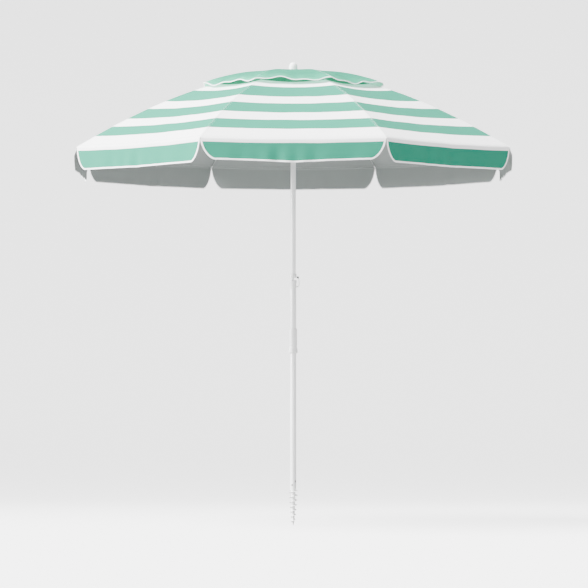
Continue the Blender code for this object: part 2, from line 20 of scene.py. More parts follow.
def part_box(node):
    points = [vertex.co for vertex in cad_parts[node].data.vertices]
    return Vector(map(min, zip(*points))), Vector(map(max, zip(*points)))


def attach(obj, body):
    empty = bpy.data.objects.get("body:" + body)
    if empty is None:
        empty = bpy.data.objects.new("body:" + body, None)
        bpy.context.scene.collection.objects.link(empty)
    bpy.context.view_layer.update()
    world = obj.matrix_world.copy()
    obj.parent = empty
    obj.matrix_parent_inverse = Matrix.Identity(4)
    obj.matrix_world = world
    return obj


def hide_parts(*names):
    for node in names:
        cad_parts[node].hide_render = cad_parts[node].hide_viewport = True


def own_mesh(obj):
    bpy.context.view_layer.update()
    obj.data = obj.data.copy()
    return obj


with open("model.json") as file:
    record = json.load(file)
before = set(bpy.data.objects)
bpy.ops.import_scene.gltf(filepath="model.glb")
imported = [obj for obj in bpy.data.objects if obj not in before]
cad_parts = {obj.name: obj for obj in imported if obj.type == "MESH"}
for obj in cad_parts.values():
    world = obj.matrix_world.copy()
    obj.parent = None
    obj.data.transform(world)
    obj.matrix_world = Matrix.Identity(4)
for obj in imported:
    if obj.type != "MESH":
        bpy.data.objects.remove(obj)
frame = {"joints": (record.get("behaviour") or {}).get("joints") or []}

LOG = logging.getLogger("umbrella")
PANELS = 8
STEP = 2 * math.pi / PANELS
HALF = STEP / 2
FOLD = "canopy_fold"
CLOTH_UV = "cloth"

CLOTH_FRONT = 0.0003
CLOTH_BACK = 0.0002
THREAD_LIFT = 0.00045
SEAM_STITCH = {"Pitch": 0.0042, "Length": 0.0028, "Thickness": 0.0005}
TAPE_STITCH = {"Pitch": 0.0040, "Length": 0.0026, "Thickness": 0.0005}
SHARP = 38.0
TAPE_SHARP = 50.0
GRIP_SHARP = 55.0
CLOTH_SHARP = 60.0

Profile = list[tuple[float, float]]
Spots = Sequence[tuple[float, float]]
Line = Sequence[Sequence[float]]
Point = tuple[float, float, float]
Colour = tuple[float, float, float]
Tree = bpy.types.NodeTree
Node = bpy.types.Node
Socket = bpy.types.NodeSocket
Value = float | Socket
Mesh = bpy.types.Mesh
Piece = bpy.types.Object
Material = bpy.types.Material


# ---- Shader nodes ----


def feed(tree: Tree, made: Node, inputs: dict) -> None:
    """Gives a node's inputs, by name or number, their values or the sockets that feed them."""
    for key, value in inputs.items():
        if isinstance(value, Socket):
            tree.links.new(value, made.inputs[key])
        else:
            made.inputs[key].default_value = value


def node(tree: Tree, kind: str, inputs: dict | None = None, **settings: object) -> Node:
    """Adds a node to a tree.

    Args:
        tree: the shader or geometry tree.
        kind: the node's type name.
        inputs: an input's name or number, and the value it holds or the socket that feeds it.
        settings: the node's own properties.

    Returns:
        The new node.
    """
    made = tree.nodes.new(kind)
    for name, value in settings.items():
        setattr(made, name, value)
    feed(tree, made, inputs or {})
    return made


def calc(tree: Tree, operation: str, first: Value, second: Value = 0.0, third: Value = 0.0) -> Socket:
    """The result of a Math node on values or sockets."""
    return node(tree, "ShaderNodeMath", {0: first, 1: second, 2: third}, operation=operation).outputs[0]


def noise(tree: Tree, vector: Socket, **inputs: Value) -> Socket:
    """A noise over a vector."""
    return node(tree, "ShaderNodeTexNoise", {"Vector": vector, **inputs}).outputs[0]


def bumped(tree: Tree, height: Socket, strength: float, distance: float, **under: Socket) -> Socket:
    """A normal bumped by a height, over the normal that is given as Normal, if any."""
    inputs = {"Strength": strength, "Distance": distance, "Height": height, **under}
    return node(tree, "ShaderNodeBump", inputs).outputs[0]


def tinted(tree: Tree, colour: Colour | Socket, factor: Socket) -> Socket:
    """A colour multiplied by a factor."""
    return node(tree, "ShaderNodeVectorMath", {0: colour, "Scale": factor}, operation="SCALE").outputs[0]


def object_place(tree: Tree) -> Socket:
    """Object coordinates."""
    return node(tree, "ShaderNodeTexCoord").outputs["Object"]


def group_tree(name: str, kind: str, sockets: Sequence[tuple[str, str, str, float | None]]) -> Tree:
    """A node group with named sockets.

    Args:
        name: the group's name.
        kind: ShaderNodeTree or GeometryNodeTree.
        sockets: for each, its name, INPUT or OUTPUT, the end of its type's name, and its default or None.

    Returns:
        The group, with nothing between its sockets yet.
    """
    tree = bpy.data.node_groups.new(name, kind)
    for label, way, socket_type, default in sockets:
        made = tree.interface.new_socket(label, in_out=way, socket_type=f"NodeSocket{socket_type}")
        if default is not None:
            made.default_value = default
    return tree


def weave_group() -> Tree:
    """Plain weave: threads over and under each other. It puts out the threads' height and a painted shade,
    darker in the dips between threads.
    """
    tree = group_tree("plain_weave", "ShaderNodeTree", (
        ("Vector", "INPUT", "Vector", None),
        ("Threads per metre", "INPUT", "Float", 1400.0),
        ("Height", "OUTPUT", "Float", None),
        ("Shade", "OUTPUT", "Float", None),
    ))
    given = node(tree, "NodeGroupInput").outputs
    scaled = tinted(tree, given["Vector"], given["Threads per metre"])
    split = node(tree, "ShaderNodeSeparateXYZ", {0: scaled}).outputs
    crowns, cells = [], []
    for axis in ("X", "Y"):
        wave = calc(tree, "SINE", calc(tree, "MULTIPLY", split[axis], math.pi))
        crowns.append(calc(tree, "ABSOLUTE", wave))
        cells.append(calc(tree, "FLOOR", split[axis]))
    parity = calc(tree, "PINGPONG", calc(tree, "ADD", *cells), 1.0)
    height = node(tree, "ShaderNodeMix", {0: parity, 2: crowns[0], 3: crowns[1]}).outputs[0]
    # painted shade: the dips between threads are up to a tenth darker than the crowns, for multiplying into
    # the cloth's colour
    shade = calc(tree, "MULTIPLY_ADD", height, 0.10, 0.90)
    node(tree, "NodeGroupOutput", {"Height": height, "Shade": shade})
    return tree


def tone_group() -> Tree:
    """Slow and fine variation of a surface, as a tone about 1 and a height."""
    tree = group_tree("surface_tone", "ShaderNodeTree", (
        ("Vector", "INPUT", "Vector", None),
        ("Broad scale", "INPUT", "Float", 5.0),
        ("Fine scale", "INPUT", "Float", 400.0),
        ("Depth", "INPUT", "Float", 0.06),
        ("Tone", "OUTPUT", "Float", None),
        ("Height", "OUTPUT", "Float", None),
    ))
    given = node(tree, "NodeGroupInput").outputs
    broad = noise(tree, given["Vector"], Scale=given["Broad scale"], Detail=3.0)
    fine = noise(tree, given["Vector"], Scale=given["Fine scale"], Detail=2.0)
    both = calc(tree, "MULTIPLY_ADD", fine, 0.3, calc(tree, "MULTIPLY", broad, 0.7))
    swing = calc(tree, "SUBTRACT", both, 0.5)
    tone = calc(tree, "MULTIPLY_ADD", swing, given["Depth"], 1.0)
    height = calc(tree, "MULTIPLY_ADD", fine, 0.25, broad)
    node(tree, "NodeGroupOutput", {"Tone": tone, "Height": height})
    return tree


def scuff_group() -> Tree:
    """Scuffs and dried sand, thickest at a low height and gone at a higher one."""
    tree = group_tree("sand_scuffs", "ShaderNodeTree", (
        ("Vector", "INPUT", "Vector", None),
        ("Bottom", "INPUT", "Float", 0.0),
        ("Top", "INPUT", "Float", 0.3),
        ("Amount", "INPUT", "Float", 0.5),
        ("Mask", "OUTPUT", "Float", None),
    ))
    given = node(tree, "NodeGroupInput").outputs
    height = node(tree, "ShaderNodeSeparateXYZ", {0: given["Vector"]}).outputs["Z"]
    fade = node(tree, "ShaderNodeMapRange", {
        "Value": height, "From Min": given["Bottom"], "From Max": given["Top"], "To Min": 1.0, "To Max": 0.0,
    }).outputs[0]
    grit = noise(tree, given["Vector"], Scale=140.0, Detail=6.0, Roughness=0.7)
    specks = node(tree, "ShaderNodeMapRange", {"Value": grit, "From Min": 0.52, "From Max": 0.68}).outputs[0]
    mask = calc(tree, "MULTIPLY", calc(tree, "MULTIPLY", specks, fade), given["Amount"])
    node(tree, "NodeGroupOutput", {"Mask": mask})
    return tree


class Groups:
    """The shader groups, each built once."""

    def __init__(self) -> None:
        """Builds the groups."""
        self.weave = weave_group()
        self.tone = tone_group()
        self.scuffs = scuff_group()

    def cloth(self, tree: Tree, threads: float) -> tuple[Socket, Socket, Socket]:
        """Places the weave and the tone of a cloth.

        Args:
            tree: the material's tree.
            threads: threads for each metre.

        Returns:
            The weave's height, the tone's height, and one factor that holds the tone's random variation and
            the weave's painted shade.
        """
        uv = node(tree, "ShaderNodeUVMap", uv_map=CLOTH_UV).outputs[0]
        given = {"Vector": uv, "Threads per metre": threads}
        weave = node(tree, "ShaderNodeGroup", given, node_tree=self.weave).outputs
        given = {"Vector": object_place(tree)}
        tone = node(tree, "ShaderNodeGroup", given, node_tree=self.tone).outputs
        return weave["Height"], tone["Height"], calc(tree, "MULTIPLY", tone["Tone"], weave["Shade"])


def shading(name: str) -> tuple[Material, Tree, Node]:
    """A material, its tree and its Principled shader."""
    material = bpy.data.materials.new(name)
    material.use_nodes = True
    return material, material.node_tree, material.node_tree.nodes["Principled BSDF"]


def mixed_with(tree: Tree, shader: Node, other: Socket, share: Value) -> None:
    """Mixes a share of another shader into the material's own."""
    mixed = node(tree, "ShaderNodeMixShader", {0: share, 1: shader.outputs[0], 2: other}).outputs[0]
    tree.links.new(mixed, tree.nodes["Material Output"].inputs["Surface"])


def thinned(tree: Tree, shader: Node, share: float) -> None:
    """Lets a share of the light through a cloth, in the colour of cloth with light behind it."""
    if share:
        through = node(tree, "ShaderNodeBsdfTranslucent", {"Color": MINT_LIT}).outputs[0]
        mixed_with(tree, shader, through, share)


# ---- Finishes ----

MINT = (0.014, 0.205, 0.130)
MINT_LIT = (0.55, 0.95, 0.80, 1.0)
WHITE = (0.900, 0.895, 0.900)


@dataclass(frozen=True)
class StripedCloth:
    """Woven polyester printed in bands. The band at a point depends on its distance along the rib line."""

    name: str = "mint_stripe_cloth"
    mint: Colour = MINT
    white: Colour = WHITE
    edges: tuple[float, ...] = (0.341, 0.440, 0.565, 0.640, 0.728, 0.793, 0.868, 0.964)
    reach: float = 1.2
    threads: float = 1400.0
    through: float = 0.0

    def build(self, groups: Groups) -> Material:
        """Builds the finish. The bands alternate outwards from mint at the crown."""
        material, tree, shader = shading(self.name)
        weave, creases, factor = groups.cloth(tree, self.threads)
        uv = node(tree, "ShaderNodeUVMap", uv_map=CLOTH_UV).outputs[0]
        line = node(tree, "ShaderNodeSeparateXYZ", {0: uv}).outputs["Y"]
        ramp = node(tree, "ShaderNodeValToRGB", {0: calc(tree, "DIVIDE", line, self.reach)})
        bands = ramp.color_ramp
        bands.interpolation = "CONSTANT"
        bands.elements[0].color = (*self.mint, 1.0)
        bands.elements[1].position = self.edges[0] / self.reach
        bands.elements[1].color = (*self.white, 1.0)
        for number, edge in enumerate(self.edges[1:]):
            bands.elements.new(edge / self.reach).color = (*(self.white if number % 2 else self.mint), 1.0)
        creased = bumped(tree, creases, 0.25, 0.004)
        # the factor darkens the bands with the weave's painted shade between threads, as well as the tone's
        # random variation
        feed(tree, shader, {
            "Base Color": tinted(tree, ramp.outputs[0], factor),
            "Roughness": calc(tree, "MULTIPLY_ADD", weave, -0.08, 0.78),
            "Normal": bumped(tree, weave, 0.30, 0.0002, Normal=creased),
            "Sheen Weight": 0.02,
            "Specular IOR Level": 0.12,
        })
        thinned(tree, shader, self.through)
        return material


@dataclass(frozen=True)
class PlainCloth:
    """A cloth or tape of one colour, with its weave."""

    name: str
    colour: Colour
    roughness: float = 0.6
    metallic: float = 0.0
    threads: float = 1400.0
    relief: float = 0.25
    through: float = 0.0

    def build(self, groups: Groups) -> Material:
        """Builds the finish."""
        material, tree, shader = shading(self.name)
        weave, drift, factor = groups.cloth(tree, self.threads)
        # the factor darkens the colour with the weave's painted shade between threads, as well as the tone's
        # random variation
        feed(tree, shader, {
            "Base Color": tinted(tree, self.colour, factor),
            "Roughness": calc(tree, "MULTIPLY_ADD", drift, 0.12, self.roughness - 0.06),
            "Metallic": self.metallic,
            "Normal": bumped(tree, weave, self.relief, 0.0002),
        })
        thinned(tree, shader, self.through)
        return material


@dataclass(frozen=True)
class HardFinish:
    """Enamel, moulded plastic or bare metal, with a fine skin, a slow drift of tone and sandy scuffs."""

    name: str
    colour: Colour
    roughness: float
    metallic: float = 0.0
    coat: float = 0.0
    grain: float = 900.0
    relief: float = 0.10
    scuffs: float = 0.35
    scuff_top: float = 0.40
    scuff_colour: Colour = (0.55, 0.50, 0.43)

    def build(self, groups: Groups) -> Material:
        """Builds the finish."""
        material, tree, shader = shading(self.name)
        place = object_place(tree)
        given = {"Vector": place, "Broad scale": 14.0, "Fine scale": self.grain}
        tone = node(tree, "ShaderNodeGroup", given, node_tree=groups.tone).outputs
        given = {"Vector": place, "Top": self.scuff_top, "Amount": self.scuffs}
        sand = node(tree, "ShaderNodeGroup", given, node_tree=groups.scuffs).outputs["Mask"]
        clean = tinted(tree, self.colour, tone["Tone"])
        mixed = {0: sand, 6: clean, 7: (*self.scuff_colour, 1.0)}
        rough = calc(tree, "MULTIPLY_ADD", tone["Height"], 0.10, self.roughness - 0.06)
        feed(tree, shader, {
            "Base Color": node(tree, "ShaderNodeMix", mixed, data_type="RGBA").outputs[2],
            "Roughness": calc(tree, "MULTIPLY_ADD", sand, 0.45, rough),
            "Metallic": self.metallic,
            "Normal": bumped(tree, tone["Height"], self.relief, 0.0004),
            "Coat Weight": self.coat,
            "Coat Roughness": 0.15,
        })
        return material


class Finish(Enum):
    """The finishes of the umbrella."""

    STRIPES = StripedCloth()
    SILVER = PlainCloth("silver_lining", (0.270, 0.295, 0.286), roughness=0.50, metallic=0.10, relief=0.12)
    VENT = StripedCloth("mint_vent_cloth", (0.016, 0.250, 0.160), through=0.35)
    VENT_BACK = PlainCloth("mint_vent_back", (0.05, 0.42, 0.28), roughness=0.75, through=0.85)
    TAPE = PlainCloth("white_bias_tape", (0.93, 0.93, 0.93), roughness=0.80, threads=900.0, relief=0.5)
    THREAD = PlainCloth("white_thread", (0.90, 0.91, 0.90), roughness=0.70, threads=4000.0, relief=0.4)
    SEAM = PlainCloth("mint_thread", (0.42, 0.60, 0.53), roughness=0.70, threads=4000.0, relief=0.4)
    ENAMEL = HardFinish(
        "white_enamel", (0.88, 0.885, 0.885), roughness=0.30, coat=0.30, grain=700.0, relief=0.06,
    )
    PLASTIC = HardFinish("white_plastic", (0.87, 0.875, 0.87), roughness=0.42, grain=1600.0, relief=0.14)
    ZINC = HardFinish(
        "zinc_steel", (0.62, 0.63, 0.64), roughness=0.32, metallic=1.0, grain=500.0, scuffs=0.0,
    )
    RIB_PAINT = HardFinish(
        "rib_grey_paint", (0.46, 0.48, 0.48), roughness=0.42, metallic=0.25, coat=0.10, scuffs=0.0,
    )
    DARK_STEEL = HardFinish(
        "dark_steel", (0.055, 0.055, 0.060), roughness=0.38, metallic=0.75, grain=700.0, relief=0.12,
        scuffs=0.15,
    )


class Wardrobe:
    """Builds each finish once and hands it out."""

    def __init__(self) -> None:
        """Makes the shader groups."""
        self.groups = Groups()
        self.made: dict[Finish, Material] = {}

    def get(self, finish: Finish) -> Material:
        """The material of a finish."""
        if finish not in self.made:
            self.made[finish] = finish.value.build(self.groups)
        return self.made[finish]

    def several(self, *finishes: Finish) -> list[Material]:
        """The materials of several finishes."""
        return [self.get(finish) for finish in finishes]


# ---- Meshes ----


def new_piece(name: str, mesh: Mesh, finishes: Sequence[Material] = ()) -> Piece:
    """An object at the origin that holds a mesh."""
    piece = bpy.data.objects.new(name, mesh)
    for finish in finishes:
        mesh.materials.append(finish)
    bpy.context.scene.collection.objects.link(piece)
    return piece


def flattened(piece: Piece) -> Piece:
    """Applies the piece's modifiers to its mesh."""
    bpy.context.view_layer.update()
    graph = bpy.context.evaluated_depsgraph_get()
    mesh = bpy.data.meshes.new_from_object(piece.evaluated_get(graph))
    piece.modifiers.clear()
    piece.data = mesh
    return piece


def smooth(piece: Piece, angle: float = SHARP) -> Piece:
    """Shades a piece smooth, with sharp edges past an angle in degrees."""
    piece.data.shade_smooth()
    piece.data.set_sharp_from_angle(angle=math.radians(angle))
    return piece


def surface_normals(points: np.ndarray) -> np.ndarray:
    """Unit normals of a grid of points, from its rows crossed with its columns."""
    down = np.gradient(points, axis=0)
    across = np.gradient(points, axis=1)
    normals = np.cross(down, across)
    length = np.linalg.norm(normals, axis=2, keepdims=True)
    return normals / np.maximum(length, 1e-12)


def lay_uv(mesh: Mesh, places: np.ndarray) -> None:
    """Gives each vertex its place in the cloth, in metres."""
    layer = mesh.uv_layers.new(name=CLOTH_UV)
    corners = np.empty(len(mesh.loops), np.int32)
    mesh.loops.foreach_get("vertex_index", corners)
    layer.data.foreach_set("uv", places[corners].astype(np.float32).ravel())


def cloth_shell(name: str, points: np.ndarray, uv: np.ndarray, finishes: Sequence[Material]) -> Piece:
    """A thin closed sheet about a grid of points.

    Args:
        name: the piece's name.
        points: rows by columns by 3. Rows crossed with columns point outwards.
        uv: rows by columns by 2, in metres.
        finishes: the outer, inner and edge materials.

    Returns:
        The piece.
    """
    rows, columns = points.shape[:2]
    normals = surface_normals(points)
    outer = (points + normals * CLOTH_FRONT).reshape(-1, 3)
    inner = (points - normals * CLOTH_BACK).reshape(-1, 3)
    count = rows * columns
    index = np.arange(count).reshape(rows, columns)
    quads = np.stack([index[:-1, :-1], index[1:, :-1], index[1:, 1:], index[:-1, 1:]], axis=-1)
    quads = quads.reshape(-1, 4)
    ring = [*index[0, :-1], *index[:-1, -1], *index[-1, :0:-1], *index[:0:-1, 0]]
    rim = [(b, a, a + count, b + count) for a, b in zip(ring, ring[1:] + ring[:1])]
    faces = [*quads.tolist(), *(quads[:, ::-1] + count).tolist(), *rim]
    mesh = bpy.data.meshes.new(name)
    mesh.from_pydata(np.concatenate([outer, inner]).tolist(), [], faces)
    lay_uv(mesh, np.concatenate([uv.reshape(-1, 2)] * 2))
    slots = [0] * len(quads) + [1] * len(quads) + [2] * len(rim)
    mesh.polygons.foreach_set("material_index", slots)
    mesh.update()
    return smooth(new_piece(name, mesh, finishes), CLOTH_SHARP)


def finished(work: bmesh.types.BMesh, name: str) -> Mesh:
    """The mesh of a bmesh, which is freed."""
    mesh = bpy.data.meshes.new(name)
    work.to_mesh(mesh)
    work.free()
    return mesh


def outward(work: bmesh.types.BMesh) -> bmesh.types.BMesh:
    """Turns the faces outwards."""
    bmesh.ops.recalc_face_normals(work, faces=work.faces)
    return work


def skin(work: bmesh.types.BMesh, rings: list[list[bmesh.types.BMVert]], closed: bool = False) -> None:
    """Faces between neighbouring rings of vertices, where a pole is a ring of one vertex repeated."""
    pairs = list(zip(rings, rings[1:])) + ([(rings[-1], rings[0])] if closed else [])
    for upper, lower in pairs:
        for number, corner in enumerate(upper):
            after = (number + 1) % len(upper)
            corners = dict.fromkeys((corner, lower[number], lower[after], upper[after]))
            if len(corners) > 2:
                work.faces.new(list(corners))


def lathe(profile: Profile, segments: int = 96, closed: bool = False) -> Mesh:
    """A turned mesh.

    Args:
        profile: (radius, height) points, down the outer side from the top.
        segments: sides.
        closed: whether the last point joins the first, as on a tube.

    Returns:
        The mesh, with its faces pointing out.
    """
    work = bmesh.new()
    rings = []
    for radius, height in profile:
        if radius < 1e-7:
            rings.append([work.verts.new((0, 0, height))] * segments)
            continue
        angles = (2 * math.pi * number / segments for number in range(segments))
        ring = [(radius * math.cos(a), radius * math.sin(a), height) for a in angles]
        rings.append([work.verts.new(place) for place in ring])
    skin(work, rings, closed)
    return finished(outward(work), "turned")


def rounded(points: Profile, radius: float, steps: int = 4, closed: bool = False) -> Profile:
    """The outline with its corners rounded, as far as its sides allow."""
    made: Profile = []
    count = len(points)
    for number, corner in enumerate(points):
        if not closed and number in (0, count - 1):
            made.append(corner)
            continue
        here = Vector(corner)
        before = Vector(points[number - 1]) - here
        after = Vector(points[(number + 1) % count]) - here
        reach = min(radius, before.length * 0.45, after.length * 0.45)
        start, end = here + before.normalized() * reach, here + after.normalized() * reach
        for step in range(steps + 1):
            share = step / steps
            curve = (1 - share) ** 2 * start + 2 * share * (1 - share) * here + share**2 * end
            made.append(tuple(curve))
    return made


def tube(outer: float, inner: float, low: float, high: float, lip: float = 0.0004) -> Profile:
    """The closed profile of a tube with its rims rolled over."""
    return rounded([(outer, high), (outer, low), (inner, low), (inner, high)], lip, 3, closed=True)


def plate(outline: Profile, low_y: float, high_y: float) -> Mesh:
    """An outline of (x, z) points extruded along Y."""
    work = bmesh.new()
    face = work.faces.new([work.verts.new((x, low_y, z)) for x, z in outline])
    grown = bmesh.ops.extrude_face_region(work, geom=[face])
    corners = [item for item in grown["geom"] if isinstance(item, bmesh.types.BMVert)]
    bmesh.ops.translate(work, verts=corners, vec=(0, high_y - low_y, 0))
    return finished(outward(work), "plate")


def arc(centre: tuple[float, float], radius: float, start: float, end: float, steps: int) -> Profile:
    """Points of an arc between two angles in degrees."""
    angles = (math.radians(start + (end - start) * step / steps) for step in range(steps + 1))
    return [(centre[0] + radius * math.cos(a), centre[1] + radius * math.sin(a)) for a in angles]


def round_bar(radius: float, start: Sequence[float], end: Sequence[float], sides: int = 32) -> Mesh:
    """A plain round bar between two points, for cutting or adding."""
    start, end = Vector(start), Vector(end)
    turn = (end - start).to_track_quat("Z", "Y").to_matrix().to_4x4()
    work = bmesh.new()
    bmesh.ops.create_cone(
        work, cap_ends=True, segments=sides, radius1=radius, radius2=radius,
        depth=(end - start).length, matrix=Matrix.Translation((start + end) / 2) @ turn,
    )
    return finished(work, "bar")


def box(low: Sequence[float], high: Sequence[float]) -> Mesh:
    """A plain box between two corners, for cutting or adding."""
    low, high = Vector(low), Vector(high)
    work = bmesh.new()
    size = Matrix.Diagonal((*(high - low), 1.0))
    bmesh.ops.create_cube(work, size=1.0, matrix=Matrix.Translation((low + high) / 2) @ size)
    return finished(work, "box")


def merged(meshes: Sequence[Mesh]) -> Mesh:
    """One mesh that holds several, in their order."""
    work = bmesh.new()
    for mesh in meshes:
        work.from_mesh(mesh)
    return finished(work, "merged")


def moved(mesh: Mesh, matrix: Matrix) -> Mesh:
    """A transformed copy of a mesh."""
    copy = mesh.copy()
    copy.transform(matrix)
    return copy


def around(mesh: Mesh, count: int, first: float = 0.0) -> Mesh:
    """Copies of a mesh at equal steps about Z."""
    turns = (first + 2 * math.pi * number / count for number in range(count))
    return merged([moved(mesh, Matrix.Rotation(turn, 4, "Z")) for turn in turns])


def combine(piece: Piece, operation: str, *others: Mesh) -> None:
    """Cuts meshes from a piece, or adds them, one after the other."""
    for other in others:
        tool = new_piece("tool", other)
        boolean = piece.modifiers.new("Boolean", "BOOLEAN")
        boolean.operation = operation
        boolean.object = tool
        flattened(piece)
        bpy.data.objects.remove(tool)


def cut(piece: Piece, *others: Mesh) -> None:
    """Cuts meshes from a piece."""
    combine(piece, "DIFFERENCE", *others)


def add(piece: Piece, *others: Mesh) -> None:
    """Adds meshes to a piece."""
    combine(piece, "UNION", *others)


def softened(piece: Piece, width: float, segments: int = 2) -> Piece:
    """Rounds the piece's sharp edges and keeps the result."""
    bevel = piece.modifiers.new("Bevel", "BEVEL")
    bevel.width = width
    bevel.segments = segments
    bevel.limit_method = "ANGLE"
    bevel.angle_limit = math.radians(40)
    return smooth(flattened(piece))


# ---- Geometry Nodes ----


def line_tree(name: str, *values: tuple[str, str, str, float]) -> tuple[Tree, dict, Socket]:
    """Starts a tree that works on a line of edges.

    Args:
        name: the tree's name.
        values: the tree's own inputs, as for group_tree.

    Returns:
        The tree, its inputs by name, and the line as a curve.
    """
    tree = group_tree(name, "GeometryNodeTree", (
        ("Geometry", "INPUT", "Geometry", None), *values,
        ("Material", "INPUT", "Material", None),
        ("Geometry", "OUTPUT", "Geometry", None),
    ))
    given = node(tree, "NodeGroupInput").outputs
    return tree, given, node(tree, "GeometryNodeMeshToCurve", {"Mesh": given["Geometry"]}).outputs[0]


def close_tree(tree: Tree, given: dict, shape: Socket) -> Tree:
    """Makes the instances of a shape real, gives them the material and puts them out."""
    real = node(tree, "GeometryNodeRealizeInstances", {0: shape}).outputs[0]
    inputs = {"Geometry": real, "Material": given["Material"]}
    node(tree, "NodeGroupOutput", {0: node(tree, "GeometryNodeSetMaterial", inputs).outputs[0]})
    return tree


def stitch_tree() -> Tree:
    """A row of stitches along a line of edges."""
    tree, given, line = line_tree(
        "stitch_row", ("Pitch", "INPUT", "Float", 0.004), ("Length", "INPUT", "Float", 0.0026),
        ("Thickness", "INPUT", "Float", 0.0006),
    )
    inputs = {"Curve": line, "Length": given["Pitch"]}
    spaced = node(tree, "GeometryNodeResampleCurve", inputs, mode="LENGTH").outputs[0]
    ball = node(tree, "GeometryNodeMeshUVSphere", {"Segments": 6, "Rings": 4, "Radius": 0.5}).outputs[0]
    size = node(tree, "ShaderNodeCombineXYZ", {
        "X": given["Length"], "Y": given["Thickness"], "Z": given["Thickness"],
    }).outputs[0]
    stitch = node(tree, "GeometryNodeTransform", {"Geometry": ball, "Scale": size}).outputs[0]
    along = {"Vector": node(tree, "GeometryNodeInputTangent").outputs[0]}
    turn = node(tree, "FunctionNodeAlignRotationToVector", along, axis="X").outputs[0]
    inputs = {"Points": spaced, "Instance": stitch, "Rotation": turn}
    return close_tree(tree, given, node(tree, "GeometryNodeInstanceOnPoints", inputs).outputs[0])


def rod_tree() -> Tree:
    """A round rod or cord along a line of edges."""
    tree, given, line = line_tree(
        "round_rod", ("Radius", "INPUT", "Float", 0.002), ("Sides", "INPUT", "Int", 16),
    )
    inputs = {"Resolution": given["Sides"], "Radius": given["Radius"]}
    ring = node(tree, "GeometryNodeCurvePrimitiveCircle", inputs).outputs[0]
    inputs = {"Curve": line, "Profile Curve": ring, "Fill Caps": True}
    return close_tree(tree, given, node(tree, "GeometryNodeCurveToMesh", inputs).outputs[0])


class Loom:
    """Runs the geometry trees on lines of points."""

    def __init__(self) -> None:
        """Builds the trees."""
        self.stitches = stitch_tree()
        self.rods = rod_tree()

    def run(self, name: str, tree: Tree, lines: Sequence[Line], values: dict, finish: Material) -> Piece:
        """Makes a plain mesh piece from a tree.

        Args:
            name: the piece's name.
            tree: the geometry tree.
            lines: each line's points.
            values: the tree's own inputs by name.
            finish: the material.

        Returns:
            The piece, with the modifier removed.
        """
        points, edges = [], []
        for line in lines:
            start = len(points)
            points.extend(tuple(point) for point in line)
            edges.extend((start + n, start + n + 1) for n in range(len(line) - 1))
        mesh = bpy.data.meshes.new(name)
        mesh.from_pydata(points, edges, [])
        piece = new_piece(name, mesh)
        modifier = piece.modifiers.new(tree.name, "NODES")
        modifier.node_group = tree
        sockets = {s.name: s.identifier for s in tree.interface.items_tree if s.in_out == "INPUT"}
        for label, value in {**values, "Material": finish}.items():
            modifier[sockets[label]] = value
        flattened(piece)
        if not piece.data.uv_layers:
            piece.data.uv_layers.new(name=CLOTH_UV)
        return smooth(piece, CLOTH_SHARP)

    def sew(self, name: str, lines: Sequence[Line], stitch: dict, finish: Material) -> Piece:
        """Stitches along lines of points."""
        return self.run(name, self.stitches, lines, stitch, finish)

    def draw(self, name: str, line: Line, radius: float, sides: int, finish: Material) -> Piece:
        """A rod or cord along a line of points."""
        return self.run(name, self.rods, [line], {"Radius": radius, "Sides": sides}, finish)


# ---- Shared shape of the canopy ----


def joint_place(name: str) -> Point:
    """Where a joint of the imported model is."""
    return next(tuple(joint["pos_m"]) for joint in frame["joints"] if joint["name"] == name)


def pivot(name: str) -> tuple[float, float]:
    """A joint's radius from the pole's axis, and its height."""
    x, y, z = joint_place(name)
    return math.hypot(x, y), z


def centre_of(name: str) -> Vector:
    """The middle of a CAD node's box."""
    low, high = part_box(name)
    return (low + high) / 2


@dataclass(frozen=True)
class RibLine:
    """The centreline of an open rib, level at the notch and steeper towards the rim."""

    start: tuple[float, float] = field(default_factory=lambda: pivot(FOLD))
    bend: float = 0.736
    fall: float = 0.671

    def z(self, radius: float) -> float:
        """Height at a radius."""
        run = radius - self.start[0]
        return self.start[1] + self.bend - math.sqrt(self.bend**2 + self.fall * run**2)

    def slope(self, radius: float) -> float:
        """Fall for each metre outwards."""
        run = radius - self.start[0]
        return self.fall * run / math.sqrt(self.bend**2 + self.fall * run**2)

    def over(self, radius: float, lift: float) -> float:
        """Height of a point that stands a lift off the line, square to it."""
        return self.z(radius) + lift * math.hypot(1.0, self.slope(radius))


RIB = RibLine()
RIM_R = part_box("canopy_gore_8")[1].x / math.cos(HALF)
CLOTH_LIFT = 0.0029


def panel_world(number: int, points: np.ndarray) -> np.ndarray:
    """Turns points of the panel's upright frame (out, across, up) to the panel's azimuth."""
    azimuth = STEP * number
    out = np.array((math.cos(azimuth), math.sin(azimuth), 0.0))
    across = np.array((-math.sin(azimuth), math.cos(azimuth), 0.0))
    up = np.array((0.0, 0.0, 1.0))
    return points[..., :1] * out + points[..., 1:2] * across + points[..., 2:3] * up


def fold_with(piece: Piece) -> None:
    """Gives a fabric piece a mesh of its own."""
    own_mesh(piece)


def settle(piece: Piece, body: str, slot: str, *nodes: str) -> Piece:
    """Puts a finished piece on its body and reports it.

    Args:
        piece: the piece.
        body: the body it moves with.
        slot: not used.
        nodes: the CAD nodes it stands for.

    Returns:
        The piece.
    """
    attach(piece, body)
    if nodes:
        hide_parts(*nodes)
    LOG.info("%s on %s: %d faces", piece.name, body, len(piece.data.polygons))
    return piece


def ease(share: float) -> float:
    """A smooth step from 0 to 1."""
    share = min(max(share, 0.0), 1.0)
    return share * share * (3 - 2 * share)


def crowded(count: int, weight: float) -> np.ndarray:
    """Shares from -1 to 1 that stand closer together towards the ends, by a weight."""
    even = np.linspace(-1, 1, count)
    return np.sin(even * math.pi / 2) * weight + even * (1 - weight)


# ---- Canopy ----


